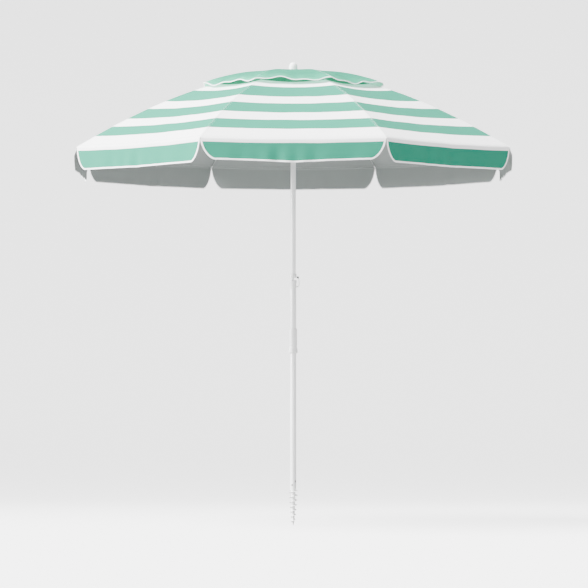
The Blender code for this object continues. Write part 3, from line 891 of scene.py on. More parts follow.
@dataclass
class PanelCloth:
    """Cloth between two ribs."""

    number: int

    def point(self, out: float, across: float) -> Point:
        """A point of the cloth in the panel's frame."""
        raise NotImplementedError

    def raised(self, spots: Spots, lift: float = THREAD_LIFT) -> np.ndarray:
        """World points over spots of the cloth, raised by a lift."""
        points = np.array([self.point(out, across) for out, across in spots])
        points[:, 2] += lift
        return panel_world(self.number, points)


@dataclass
class CanopyPanel(PanelCloth):
    """One main panel, from the vent hole to the rim, with its stitching."""

    rows: int = 56
    columns: int = 36
    inner_r: float = 0.180
    end_r: float = RIM_R - 0.0055
    sag: float = 0.011
    rim_sag: float = 0.007
    ripple_height: float = 0.0009
    seam_gap: float = 0.0002
    seam_insets: tuple[float, ...] = (0.0035, 0.0075)
    rim_insets: tuple[float, ...] = (0.0030, 0.0070)
    flat_length: float = 0.86
    keep: float = 0.29

    def sag_at(self, radius: float) -> float:
        """How far the middle of the panel hangs below the line between its ribs."""
        share = (radius - self.inner_r) / (RIM_R - self.inner_r)
        return self.sag + (self.rim_sag - self.sag) * share

    def ripple(self, radius: float, across: float) -> float:
        """Slight pulls in the cloth, gone at the seams."""
        turn = 1.7 * self.number
        wide = math.sin(38 * radius + 9 * across + turn) * 0.5
        tight = math.sin(61 * radius - 14 * across + 2 * turn) * 0.3
        return self.ripple_height * (wide + tight) * (1 - across**2) * ease((radius - 0.3) / 0.4)

    def point(self, radius: float, across: float) -> Point:
        """A point of the cloth in the panel's frame, for a share across it from -1 to 1."""
        height = RIB.over(radius, CLOTH_LIFT) - self.sag_at(radius) * (1 - across**2)
        height += self.ripple(radius, across)
        half = radius * math.sin(HALF) - self.seam_gap
        return radius * math.cos(HALF), across * half, height

    def build(self, wardrobe: Wardrobe, loom: Loom) -> None:
        """Builds the cloth and its thread."""
        radii = np.linspace(self.inner_r, self.end_r, self.rows)
        shares = crowded(self.columns, 0.6)
        grid = np.array([[self.point(radius, across) for across in shares] for radius in radii])
        uv = np.stack([grid[..., 1], np.repeat(radii[:, None], self.columns, 1)], axis=-1)
        finishes = wardrobe.several(Finish.STRIPES, Finish.SILVER, Finish.TAPE)
        cloth = cloth_shell(f"canopy_panel_{self.number}", panel_world(self.number, grid), uv, finishes)
        settle(cloth, f"panel_{self.number}", "mint_fabric", f"canopy_gore_{self.number}")
        thread = self.thread(wardrobe, loom)
        fold_with(cloth)

    def thread(self, wardrobe: Wardrobe, loom: Loom) -> Piece:
        """The stitching beside both seams and along the rim."""
        radii = np.linspace(self.inner_r + 0.004, self.end_r - 0.003, 90)
        lines = [
            self.raised([(radius, side * (1 - inset / (radius * math.sin(HALF)))) for radius in radii])
            for side in (-1, 1) for inset in self.seam_insets
        ]
        shares = np.linspace(-0.985, 0.985, 90)
        lines += [self.raised([(self.end_r - inset, share) for share in shares]) for inset in self.rim_insets]
        thread = loom.sew(f"panel_thread_{self.number}", lines, SEAM_STITCH, wardrobe.get(Finish.SEAM))
        settle(thread, f"panel_{self.number}", "mint_fabric")
        fold_with(thread)
        return thread


class FlapCut(Enum):
    """How a flap's outline is cut: its corner's width, its drop at the sides and the bow of its hem."""

    FRONT = (0.060, 0.0865, 0.0125)
    SIDE = (0.050, 0.0955, 0.0040)
    END = (0.036, 0.0955, 0.0040)

    @classmethod
    def of(cls, number: int) -> "FlapCut":
        """The cut of a panel's flap."""
        return {6: cls.FRONT, 8: cls.END, 4: cls.END}.get(number, cls.SIDE)


@dataclass
class ValanceFlap(PanelCloth):
    """One flap of the valance: it bends over the rim and hangs, with a white tape bound round its edge."""

    panel: CanopyPanel
    cut: FlapCut
    columns: int = 97
    rows: int = 30
    bend_r: float = 0.010
    tuck: float = 0.006
    tape_width: float = 0.0062
    tape_back: float = 0.0016
    tape_stand: float = 0.0008
    fold_height: float = 0.0030
    flare: float = 0.011
    flare_span: float = 0.160
    corner_turn: float = 0.020
    corner_span: float = 0.060
    under: float = 0.0009
    half: float = RIM_R * math.sin(HALF) - 0.0012
    keep: float = 0.29

    def depth(self, inset: float) -> float:
        """Depth below the rib tips at a distance in from the corner."""
        corner, drop, bow = self.cut.value
        inset = max(inset, 0.0)
        turn = max(1 - inset / corner, 0.0)
        return drop * (1 - turn**1.75) ** 0.57 + bow * (inset / self.half) ** 1.5

    def heading(self, spread: float) -> float:
        """Angle below level at which the cloth leaves the panel."""
        steep = math.atan(RIB.slope(self.panel.end_r)) / math.cos(HALF)
        return steep * (1 - 0.05 * (1 - (spread / self.half) ** 2))

    def length(self, spread: float) -> float:
        """Length of cloth from the panel's end to the hem."""
        start = self.panel.point(self.panel.end_r, spread / self.half)[2]
        fall = self.depth(self.half - abs(spread)) + start - RIB.over(RIM_R, CLOTH_LIFT)
        heading = self.heading(spread)
        in_bend = self.bend_r * math.cos(heading)
        if fall < in_bend:
            turned = math.acos(max(math.cos(heading) - fall / self.bend_r, 0.0))
            return self.bend_r * (turned - heading)
        return self.bend_r * (math.pi / 2 - heading) + fall - in_bend

    def folds(self, spread: float, hang: float) -> float:
        """Soft upright folds, growing towards the hem."""
        turn = 2.3 * self.number
        wide = math.sin(spread * 46 + turn) * 0.5
        tight = math.sin(spread * 84 + 2.1 * turn) * math.exp(-((spread + 0.04) / 0.13) ** 2)
        return self.fold_height * (wide + tight) * ease(hang / 0.09)

    def curl(self, spread: float, hang: float) -> float:
        """The two end flaps flare at their near edge, and their far corner turns out."""
        if self.cut is not FlapCut.END:
            return 0.0
        far = spread if self.number == PANELS else -spread
        flare = self.flare * ease((self.flare_span - far - self.half) / self.flare_span)
        corner = self.corner_turn * ease((self.corner_span + far - self.half) / self.corner_span)
        return flare * ease(hang / 0.03) + corner * ease((hang - 0.030) / 0.055)

    def point(self, spread: float, length: float) -> Point:
        """A point of the cloth in the panel's frame, for a length of cloth from the panel's end."""
        out, _, up = self.panel.point(self.panel.end_r, spread / self.half)
        heading = self.heading(spread)
        if length < 0:
            return out + length * math.cos(heading), spread, up - length * math.sin(heading) - self.under
        turned = min(length / self.bend_r, math.pi / 2 - heading)
        out += self.bend_r * (math.sin(heading + turned) - math.sin(heading))
        up -= self.bend_r * (math.cos(heading) - math.cos(heading + turned))
        hang = length - self.bend_r * turned
        tucked = self.under * (1 - ease(length / 0.003))
        out += self.folds(spread, hang) + self.curl(spread, hang)
        return out, spread, up - hang - tucked

    def build(self, wardrobe: Wardrobe, loom: Loom) -> None:
        """Builds the cloth, the tape and the tape's thread."""
        grid = np.empty((self.rows, self.columns, 3))
        uv = np.empty((self.rows, self.columns, 2))
        for column, spread in enumerate(crowded(self.columns, 0.55) * self.half):
            end = self.length(spread)
            for row, length in enumerate(np.linspace(-self.tuck, end, self.rows)):
                grid[row, column] = self.point(spread, length)
                uv[row, column] = (spread, self.panel.end_r + length)
        finishes = wardrobe.several(Finish.STRIPES, Finish.SILVER, Finish.TAPE)
        cloth = cloth_shell(f"valance_flap_{self.number}", panel_world(self.number, grid), uv, finishes)
        body = f"flap_{self.number}"
        settle(cloth, body, "mint_fabric", f"canopy_flap_{self.number}")
        tape = settle(self.tape(wardrobe), body, "mint_fabric")
        thread = settle(self.thread(wardrobe, loom), body, "mint_fabric")
        for piece in (cloth, tape, thread):
            fold_with(piece)
        lengths = [self.length(spread) + self.tuck for spread in np.linspace(-self.half, self.half, 400)]

    def outline(self, count: int) -> list[tuple[float, float]]:
        """(spread, length) points round the flap's free edge, from one rib tip to the other."""
        fine = [self.half * math.sin(math.pi / 2 * share) for share in np.linspace(-1, 1, 801)]
        points = np.array([(spread, self.length(spread)) for spread in fine])
        steps = np.concatenate([[0.0], np.cumsum(np.linalg.norm(np.diff(points, axis=0), axis=1))])
        wanted = np.linspace(0, steps[-1], count)
        return [(np.interp(w, steps, points[:, 0]), np.interp(w, steps, points[:, 1])) for w in wanted]

    def inset(self, count: int, distance: float) -> list[tuple[float, float]]:
        """The outline moved inwards over the cloth."""
        points = np.array(self.outline(count))
        along = np.gradient(points, axis=0)
        along /= np.linalg.norm(along, axis=1, keepdims=True)
        inward = np.stack([along[:, 1], -along[:, 0]], axis=1)
        made = points + inward * distance
        middle = np.sign(points[:, 0])
        made[:, 0] = np.where(middle * made[:, 0] > self.half, points[:, 0], made[:, 0])
        return [tuple(p) for p in made]

    def lifted(self, spots: Sequence[tuple[float, float]], lift: float) -> np.ndarray:
        """Points over the cloth at (spread, length) spots, lifted square to it."""
        made = []
        for spread, length in spots:
            here = Vector(self.point(spread, max(length, 0.0003)))
            down = Vector(self.point(spread, max(length, 0.0003) + 0.0005)) - here
            side = 0.0005 if spread < 0 else -0.0005
            beside = Vector(self.point(spread + side, max(length, 0.0003))) - here
            beside *= math.copysign(1, side)
            made.append(here + down.cross(beside).normalized() * lift)
        return np.array([tuple(p) for p in made])

    def tape(self, wardrobe: Wardrobe) -> Piece:
        """The white tape folded over the flap's edge."""
        count = 240
        stand = self.tape_stand
        section = [
            (self.tape_width, stand * 0.9), (0.0012, stand), (-0.0003, stand * 0.7), (-0.0006, 0.0),
            (-0.0003, -stand * 0.7), (self.tape_back * 0.5, -stand), (self.tape_back, -stand * 0.9),
        ]
        rows = [self.lifted(self.inset(count, inward), lift) for inward, lift in section]
        points = panel_world(self.number, np.stack(rows, axis=0))
        near = np.arange(len(section) * count).reshape(-1, count)
        far = np.roll(near, -1, axis=0)
        faces = np.stack([near[:, :-1], far[:, :-1], far[:, 1:], near[:, 1:]], axis=-1).reshape(-1, 4)
        faces = [*faces.tolist(), near[::-1, 0].tolist(), near[:, -1].tolist()]
        mesh = bpy.data.meshes.new("tape")
        mesh.from_pydata(points.reshape(-1, 3).tolist(), [], faces)
        along = np.tile(np.linspace(0, 0.95, count), len(section))
        round_edge = np.repeat(np.linspace(0, 2 * self.tape_width, len(section)), count)
        lay_uv(mesh, np.stack([along, round_edge], axis=1))
        piece = new_piece(f"valance_tape_{self.number}", mesh, [wardrobe.get(Finish.TAPE)])
        work = bmesh.new()
        work.from_mesh(mesh)
        outward(work).to_mesh(mesh)
        work.free()
        return smooth(piece, TAPE_SHARP)

    def thread(self, wardrobe: Wardrobe, loom: Loom) -> Piece:
        """The stitching that holds the tape."""
        spots = self.inset(200, self.tape_width - 0.0016)[3:-3]
        line = panel_world(self.number, self.lifted(spots, self.tape_stand + 0.00015))
        return loom.sew(f"valance_thread_{self.number}", [line], TAPE_STITCH, wardrobe.get(Finish.THREAD))


@dataclass
class VentPanel(PanelCloth):
    """One panel of the vent cap, with a white cord round its loose, puckered edge."""

    rows: int = 44
    columns: int = 34
    inner_r: float = 0.0080
    edge_r: float = 0.4000
    top_z: float = 1.8879
    fall: float = 0.0625
    crown: float = 0.0060
    pucker_height: float = 0.0085
    cord_r: float = 0.0017
    seam_inset: float = 0.0035
    flat_length: float = 0.42
    keep: float = 0.38

    def pucker(self, azimuth: float) -> float:
        """How far the loose edge lifts at an azimuth, from about -1 to 1."""
        crest = azimuth - math.radians(-98.5)
        return 0.50 * math.cos(11 * crest) + 0.34 * math.cos(25 * crest - 0.5) + 0.30 * math.cos(4 * crest)

    def point(self, share: float, across: float) -> Point:
        """A point of the cloth in the panel's frame, for shares outwards and across."""
        azimuth = STEP * self.number + across * HALF
        lift = self.pucker(azimuth)
        loose = ease((share - 0.62) / 0.38) ** 1.5
        radius = self.inner_r + (self.edge_r - 0.004 * lift * loose - self.inner_r) * share
        height = self.top_z - self.fall * (radius / self.edge_r) ** 2.6 - 0.004 * share * (1 - across**2)
        height += self.crown * math.sin(math.pi * share) + (self.pucker_height * lift + 0.0035) * loose
        half = radius * math.sin(HALF) - 0.0001
        return radius * math.cos(HALF), across * half, height

    def inset_at(self, share: float) -> float:
        """How far in from a seam its stitching runs, as a share of the half width."""
        return min(self.seam_inset / (share * self.edge_r * math.sin(HALF)), 1.0)

    def build(self, wardrobe: Wardrobe, loom: Loom) -> None:
        """Builds the cloth, the edge cord and the thread."""
        shares = np.linspace(0, 1, self.rows)
        sides = np.linspace(-1, 1, self.columns)
        grid = np.array([[self.point(share, across) for across in sides] for share in shares])
        uv = np.stack([grid[..., 1], grid[..., 0] * 0.6], axis=-1)
        finishes = wardrobe.several(Finish.VENT, Finish.VENT_BACK, Finish.TAPE)
        cloth = cloth_shell(f"vent_panel_{self.number}", panel_world(self.number, grid), uv, finishes)
        body = f"panel_{self.number}"
        settle(cloth, body, "mint_fabric", f"vent_gore_{self.number}")
        edge = self.raised([(1.0, across) for across in np.linspace(-1, 1, 120)], 0.0)
        cord = loom.draw(f"vent_edge_{self.number}", edge, self.cord_r, 10, wardrobe.get(Finish.TAPE))
        settle(cord, body, "mint_fabric")
        thread = settle(self.thread(wardrobe, loom), body, "mint_fabric")
        for piece in (cloth, cord, thread):
            fold_with(piece)

    def thread(self, wardrobe: Wardrobe, loom: Loom) -> Piece:
        """The stitching beside the seams and inside the edge."""
        shares = np.linspace(0.08, 0.985, 70)
        lines = [
            [(share, side * (1 - self.inset_at(share))) for share in shares] for side in (-1, 1)
        ]
        lines.append([(0.984, across) for across in np.linspace(-0.98, 0.98, 90)])
        raised = [self.raised(spots) for spots in lines]
        return loom.sew(f"vent_thread_{self.number}", raised, SEAM_STITCH, wardrobe.get(Finish.SEAM))


# ---- Canopy frame ----

NOTCH_R, NOTCH_Z = pivot(FOLD)
RUNNER_Z = pivot("runner_travel")[1]
SLOT_R = 0.0137


def rib_azimuth(number: int) -> float:
    """Azimuth of a rib in radians."""
    return STEP * number - HALF


def placed(mesh: Mesh, number: int) -> Mesh:
    """A copy of a mesh drawn in the XZ plane, turned to a rib's azimuth."""
    return moved(mesh, Matrix.Rotation(rib_azimuth(number), 4, "Z"))


def dressed(name: str, mesh: Mesh, finish: Material) -> Piece:
    """A piece of one finish."""
    mesh.materials.clear()
    return new_piece(name, mesh, [finish])


def cross_bar(radius: float, x: float, z: float, half: float, sides: int = 32) -> Mesh:
    """A round bar along Y, as a cutter or a pin."""
    return round_bar(radius, (x, -half, z), (x, half, z), sides)


@dataclass
class Rib:
    """A painted wire rib with a flat eye, a pressed lug for its stretcher and a moulded tip cap."""

    wire_r: float = 0.0020
    eye_r: float = 0.0030
    eye_hole_r: float = 0.0012
    eye_half: float = 0.0011
    lug_r: float = 0.0027
    lug_half: float = 0.0010
    lug_hole_r: float = 0.00145
    end_r: float = 0.9475
    cap_r: float = 0.0023
    ball_r: float = 0.0036

    def build(self, wardrobe: Wardrobe, loom: Loom) -> None:
        """Builds one rib and turns copies of it round the pole."""
        finish = wardrobe.get(Finish.RIB_PAINT)
        link_r, link_z = pivot("stretcher_1_turn")
        radii = [NOTCH_R + 0.0095, *np.linspace(0.035, self.end_r, 80)]
        line = [(radius, 0.0, RIB.z(radius)) for radius in radii]
        rib = loom.draw("rib_blank", line, self.wire_r, 16, finish)
        outline = arc((NOTCH_R, NOTCH_Z), self.eye_r, 75, 285, 24)
        outline += [(NOTCH_R + 0.0130, NOTCH_Z - 0.0017), (NOTCH_R + 0.0130, NOTCH_Z + 0.0015)]
        eye = new_piece("eye", plate(outline, -self.eye_half, self.eye_half))
        cut(eye, cross_bar(self.eye_hole_r, NOTCH_R, NOTCH_Z, 0.01))
        softened(eye, 0.00025)
        outline = arc((link_r, link_z), self.lug_r, 180, 360, 20)
        top = RIB.z(link_r)
        outline += [(link_r + 0.0032, top), (link_r - 0.0032, top)]
        lug = new_piece("lug", plate(outline, -self.lug_half, self.lug_half))
        cut(lug, cross_bar(self.lug_hole_r, link_r, link_z, 0.01))
        softened(lug, 0.0002)
        blank = merged([rib.data, eye.data, lug.data])
        for number in range(1, PANELS + 1):
            made = smooth(dressed(f"painted_rib_{number}", placed(blank, number), finish))
            settle(made, f"rib_{number}", "rib_steel", f"rib_{number}")
            self.cap(number, wardrobe)
        for spare in (rib, eye, lug):
            bpy.data.objects.remove(spare)

    def cap(self, number: int, wardrobe: Wardrobe) -> None:
        """The white cap pushed over a rib's end."""
        profile = [(0, 0.0045), (0.0016, 0.0040), (0.0030, 0.0022), (self.ball_r, 0), (0.0030, -0.0022)]
        profile += [(self.cap_r, -0.0036), (self.cap_r, -0.0170), (0.00205, -0.0174), (0, -0.0174)]
        angle = math.pi / 2 + math.atan(RIB.slope(self.end_r))
        place = Matrix.Translation((self.end_r + 0.0012, 0, RIB.z(self.end_r) - 0.0007))
        mesh = moved(lathe(rounded(profile, 0.0006, 3), 28), place @ Matrix.Rotation(angle, 4, "Y"))
        made = smooth(dressed(f"rib_cap_{number}", placed(mesh, number), wardrobe.get(Finish.PLASTIC)))
        settle(made, f"rib_{number}", "white_plastic")


@dataclass
class Stretcher:
    """A channel bar with a fork and rivet at the rib and a flat eye at the runner."""

    length: float = 0.380
    fork_r: float = 0.0026
    half_height: float = 0.0020
    half_width: float = 0.0023
    eye_r: float = 0.0030

    def build(self, wardrobe: Wardrobe) -> None:
        """Builds one stretcher and turns copies of it round the pole."""
        link_r, link_z = pivot("stretcher_1_turn")
        length = self.length
        outline = arc((0, 0), self.fork_r, 45, 315, 24) + [(length - 0.006, -self.half_height)]
        outline += arc((length, 0), self.eye_r, -140, 140, 24) + [(length - 0.006, self.half_height)]
        bar = new_piece("bar", plate(outline, -self.half_width, self.half_width))
        tongue = length - 0.0090
        cuts = merged([
            box((-0.006, -0.0013, -0.006), (0.0046, 0.0013, 0.006)),
            box((tongue, -0.006, -0.006), (length + 0.006, -0.0011, 0.006)),
            box((tongue, 0.0011, -0.006), (length + 0.006, 0.006, 0.006)),
        ])
        channel = box((0.014, -0.0014, -0.006), (length - 0.020, 0.0014, 0.0008))
        cut(bar, cuts, channel, cross_bar(0.0012, length, 0, 0.003))
        softened(bar, 0.00028)
        rivet = lathe(rounded([
            (0, 0.0031), (0.0016, 0.0028), (0.0019, 0.0023), (0.0010, 0.0023),
            (0.0010, -0.0023), (0.0019, -0.0023), (0.0016, -0.0028), (0, -0.0031),
        ], 0.0002, 2), 24)
        lying = Matrix.Rotation(math.pi / 2, 4, "X")
        blank = merged([bar.data, moved(rivet, lying)])
        drop = math.atan2(link_z - RUNNER_Z, link_r - NOTCH_R)
        place = Matrix.Translation((link_r, 0, link_z)) @ Matrix.Rotation(math.pi - drop, 4, "Y")
        for number in range(1, PANELS + 1):
            mesh = placed(moved(blank, place), number)
            made = smooth(dressed(f"steel_stretcher_{number}", mesh, wardrobe.get(Finish.RIB_PAINT)))
            settle(made, f"stretcher_{number}", "rib_steel", f"stretcher_{number}")
        bpy.data.objects.remove(bar)


@dataclass
class Crown:
    """The moulded notch and runner that carry the ribs and stretchers, with their ring wires."""

    crown_r: float = 0.0205
    half: float = 0.0070
    slot_half: float = 0.0016
    wire_r: float = 0.0008
    spigot_r: float = 0.0097
    bore_r: float = 0.0115

    def slots(self, low: float, high: float) -> Mesh:
        """The eight radial slots, as a cutter."""
        slot = box((SLOT_R, -self.slot_half, low), (0.024, self.slot_half, high))
        return around(slot, PANELS, HALF)

    def channel(self, height: float) -> Mesh:
        """The round channel of a ring wire, as a cutter."""
        ring = arc((NOTCH_R, height), 0.0011, 90, -270, 12)[:-1]
        return lathe(ring, 64, closed=True)

    def ring(self, name: str, height: float, body: str, node_name: str, wardrobe: Wardrobe) -> None:
        """A ring wire."""
        section = arc((NOTCH_R, height), self.wire_r, 90, -270, 14)[:-1]
        made = smooth(dressed(name, lathe(section, 128, closed=True), wardrobe.get(Finish.ZINC)))
        settle(made, body, "zinc_steel", node_name)

    def build(self, wardrobe: Wardrobe) -> None:
        """Builds the two hubs and their wires."""
        top, half = NOTCH_Z, self.half
        profile = [
            (0, top + 0.0430), (0.0040, top + 0.0430), (0.0040, top + 0.0150), (0.0135, top + 0.0150),
            (0.0135, top + half), (self.crown_r, top + half), (self.crown_r, top - half),
            (0.0135, top - half), (0.0135, top - 0.0135), (self.spigot_r, top - 0.0135),
            (self.spigot_r, top - 0.0500), (0, top - 0.0500),
        ]
        notch = dressed("moulded_notch", lathe(rounded(profile, 0.0008, 3), 96), wardrobe.get(Finish.PLASTIC))
        cut(notch, self.slots(top - 0.010, top + 0.010), self.channel(top))
        settle(smooth(notch), "upper", "white_plastic", "top_notch")
        low = RUNNER_Z
        profile = [
            (self.crown_r, low + half), (self.crown_r, low - 0.0060), (0.0190, low - 0.0090),
            (0.0158, low - 0.0120), (0.0158, low - 0.0480), (self.bore_r, low - 0.0480),
            (self.bore_r, low + half),
        ]
        shape = lathe(rounded(profile, 0.0008, 3, closed=True), 96, closed=True)
        runner = dressed("moulded_runner", shape, wardrobe.get(Finish.PLASTIC))
        keyway = box((-0.0036, -0.0141, low - 0.060), (0.0036, -0.0050, low + 0.020))
        grip = round_bar(0.0012, (0.0164, 0, low - 0.040), (0.0164, 0, low - 0.016), 12)
        slots = self.slots(low - 0.0042, low + 0.010)
        cut(runner, slots, self.channel(low), keyway, around(grip, 24, STEP / 6))
        settle(smooth(runner), "runner", "white_plastic", "runner")
        self.ring("notch_wire", top, "upper", "notch_ring_wire", wardrobe)
        self.ring("runner_wire", low, "runner", "runner_ring_wire", wardrobe)


# ---- Pole ----


@dataclass
class Pole:
    """The enamelled tubes, with rolled rims and the punched holes for the screws and the catch."""

    wall: float = 0.0010
    screws: tuple[str, ...] = ("anchor_screw_front", "anchor_screw_side")
    screw_hole_r: float = 0.0021
    catch_hole_r: float = 0.0034

    def build(self, wardrobe: Wardrobe) -> None:
        """Builds the four tubes."""
        bodies = {
            "lower_pole": "lower", "middle_pole": "middle", "inner_tube": "middle", "upper_pole": "upper",
        }
        for name, body in bodies.items():
            low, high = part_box(name)
            mesh = lathe(tube(high.x, high.x - self.wall, low.z, high.z), 128, closed=True)
            made = dressed(f"enamelled_{name}", mesh, wardrobe.get(Finish.ENAMEL))
            if name == "lower_pole":
                for screw in self.screws:
                    centre = centre_of(screw)
                    way = Vector((centre.x, centre.y, 0)).normalized()
                    rise = Vector((0, 0, centre.z))
                    cut(made, round_bar(self.screw_hole_r, way * 0.008 + rise, way * 0.016 + rise))
            if name == "upper_pole":
                height = centre_of("runner_catch").z
                cut(made, round_bar(self.catch_hole_r, (0, -0.006, height), (0, -0.014, height)))
            settle(smooth(made), body, "white_enamel", name)


@dataclass
class Auger:
    """The moulded sand auger: a tapered core, a helical blade that narrows to the tip, and two screws."""

    pitch: float = 0.020
    turns: float = 6.6
    top_z: float = 0.1475
    steps: int = 40
    root_r: float = 0.0030
    blade_r: float = 0.0200
    narrowing: float = 0.0115

    def core(self) -> Profile:
        """The core's profile."""
        return rounded([
            (0, 0.2100), (0.0112, 0.2100), (0.0112, 0.1517), (0.0125, 0.1517), (0.0125, 0.1485),
            (0.0092, 0.1465), (0.0068, 0.0600), (0.0052, 0.0200), (0, 0),
        ], 0.0008, 3)

    def blade(self) -> Mesh:
        """The blade, with a rounded edge."""
        count = round(self.turns * self.steps)
        work = bmesh.new()
        sections = []
        for step in range(count + 1):
            done = step / count
            angle = 2 * math.pi * self.turns * done
            height = self.top_z - self.pitch * self.turns * done
            reach = self.blade_r - self.narrowing * done**1.3
            top = [(self.root_r, 0.0012), (reach - 0.0004, 0.00042), (reach, 0.0002)]
            corners = top + [(radius, -up) for radius, up in reversed(top)]
            sections.append([
                work.verts.new((radius * math.cos(angle), -radius * math.sin(angle), height + up))
                for radius, up in corners
            ])
        for near, far in zip(sections, sections[1:]):
            for side in range(len(near)):
                after = (side + 1) % len(near)
                work.faces.new((near[side], near[after], far[after], far[side]))
        work.faces.new(sections[0])
        work.faces.new(sections[-1][::-1])
        return finished(outward(work), "blade")

    def build(self, wardrobe: Wardrobe) -> None:
        """Builds the auger and its screws."""
        mesh = merged([lathe(self.core(), 96), self.blade()])
        made = smooth(dressed("moulded_auger", mesh, wardrobe.get(Finish.PLASTIC)))
        settle(made, "lower", "white_plastic", "sand_auger")
        for name in Pole.screws:
            self.screw(name, wardrobe)

    def screw(self, name: str, wardrobe: Wardrobe) -> None:
        """A dark pan-head screw with a cross recess."""
        centre = centre_of(name)
        azimuth = math.atan2(centre.y, centre.x)
        profile = [
            (0, 0.0148), (0.0016, 0.0146), (0.0030, 0.0138), (0.0035, 0.0128), (0.0016, 0.0128),
            (0.0016, 0.0060), (0, 0.0045),
        ]
        mesh = lathe(rounded(profile, 0.0003, 3), 40)
        made = dressed(f"dark_{name}", mesh, wardrobe.get(Finish.DARK_STEEL))
        cross = merged([
            box((-0.0017, -0.00028, 0.0138), (0.0017, 0.00028, 0.0160)),
            box((-0.00028, -0.0017, 0.0138), (0.00028, 0.0017, 0.0160)),
        ])
        cut(made, cross)
        turn = Matrix.Rotation(azimuth, 4, "Z") @ Matrix.Rotation(math.pi / 2, 4, "Y")
        made.data.transform(Matrix.Translation((0, 0, centre.z)) @ turn)
        settle(smooth(made), "lower", "dark_steel", name)


@dataclass
class HeightLock:
    """The sleeve on the middle tube and the twist ring under it, with a wavy moulded grip."""

    sleeve_r: float = 0.0162
    bore_r: float = 0.0128
    wave: float = 0.0050
    lobes: int = 3
    wave_z: float = 0.7350
    step_r: float = 0.0016
    rows: int = 70
    columns: int = 160

    def ring_r(self, share: float, height: float, azimuth: float) -> float:
        """Radius of the twist ring: a cone, with the grip standing proud below a wavy line."""
        cone = 0.0178 - 0.0030 * share - 0.0028 * (1 - ease(share / 0.14))
        line = self.wave_z + self.wave * math.sin(self.lobes * azimuth + 2.2)
        ribbed = 0.00025 * math.cos(36 * azimuth) * ease((line - height - 0.001) / 0.002)
        return cone + (self.step_r + ribbed) * ease((line - height) / 0.0012) * ease(share / 0.10)

    def build(self, wardrobe: Wardrobe) -> None:
        """Builds the sleeve and the ring."""
        low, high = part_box("lock_sleeve")
        top, bottom = high.z, low.z
        profile = rounded([
            (0.0146, top), (self.sleeve_r - 0.0004, top - 0.0012), (self.sleeve_r, top - 0.0035),
            (self.sleeve_r, bottom + 0.0075), (0.0156, bottom + 0.0072), (0.0156, bottom + 0.0062),
            (self.sleeve_r, bottom + 0.0059), (0.0158, bottom + 0.0010), (0.0150, bottom),
            (self.bore_r, bottom), (self.bore_r, top),
        ], 0.0004, 3, closed=True)
        sleeve = dressed("moulded_sleeve", lathe(profile, 128, closed=True), wardrobe.get(Finish.PLASTIC))
        settle(smooth(sleeve), "middle", "white_plastic", "lock_sleeve")
        low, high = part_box("lock_ring")
        work = bmesh.new()
        heights = [low.z + (high.z - low.z) * row / (self.rows - 1) for row in range(self.rows)][::-1]
        spots = [(height, None) for height in heights] + [(low.z, self.bore_r), (high.z, self.bore_r)]
        rings = []
        for height, bore in spots:
            share = (height - low.z) / (high.z - low.z)
            ring = []
            for column in range(self.columns):
                azimuth = 2 * math.pi * column / self.columns
                reach = bore or self.ring_r(share, height, azimuth)
                ring.append(work.verts.new((reach * math.cos(azimuth), reach * math.sin(azimuth), height)))
            rings.append(ring)
        skin(work, rings, closed=True)
        ring = dressed("moulded_lock_ring", finished(outward(work), "ring"), wardrobe.get(Finish.PLASTIC))
        settle(smooth(ring, GRIP_SHARP), "lock_ring", "white_plastic", "lock_ring")


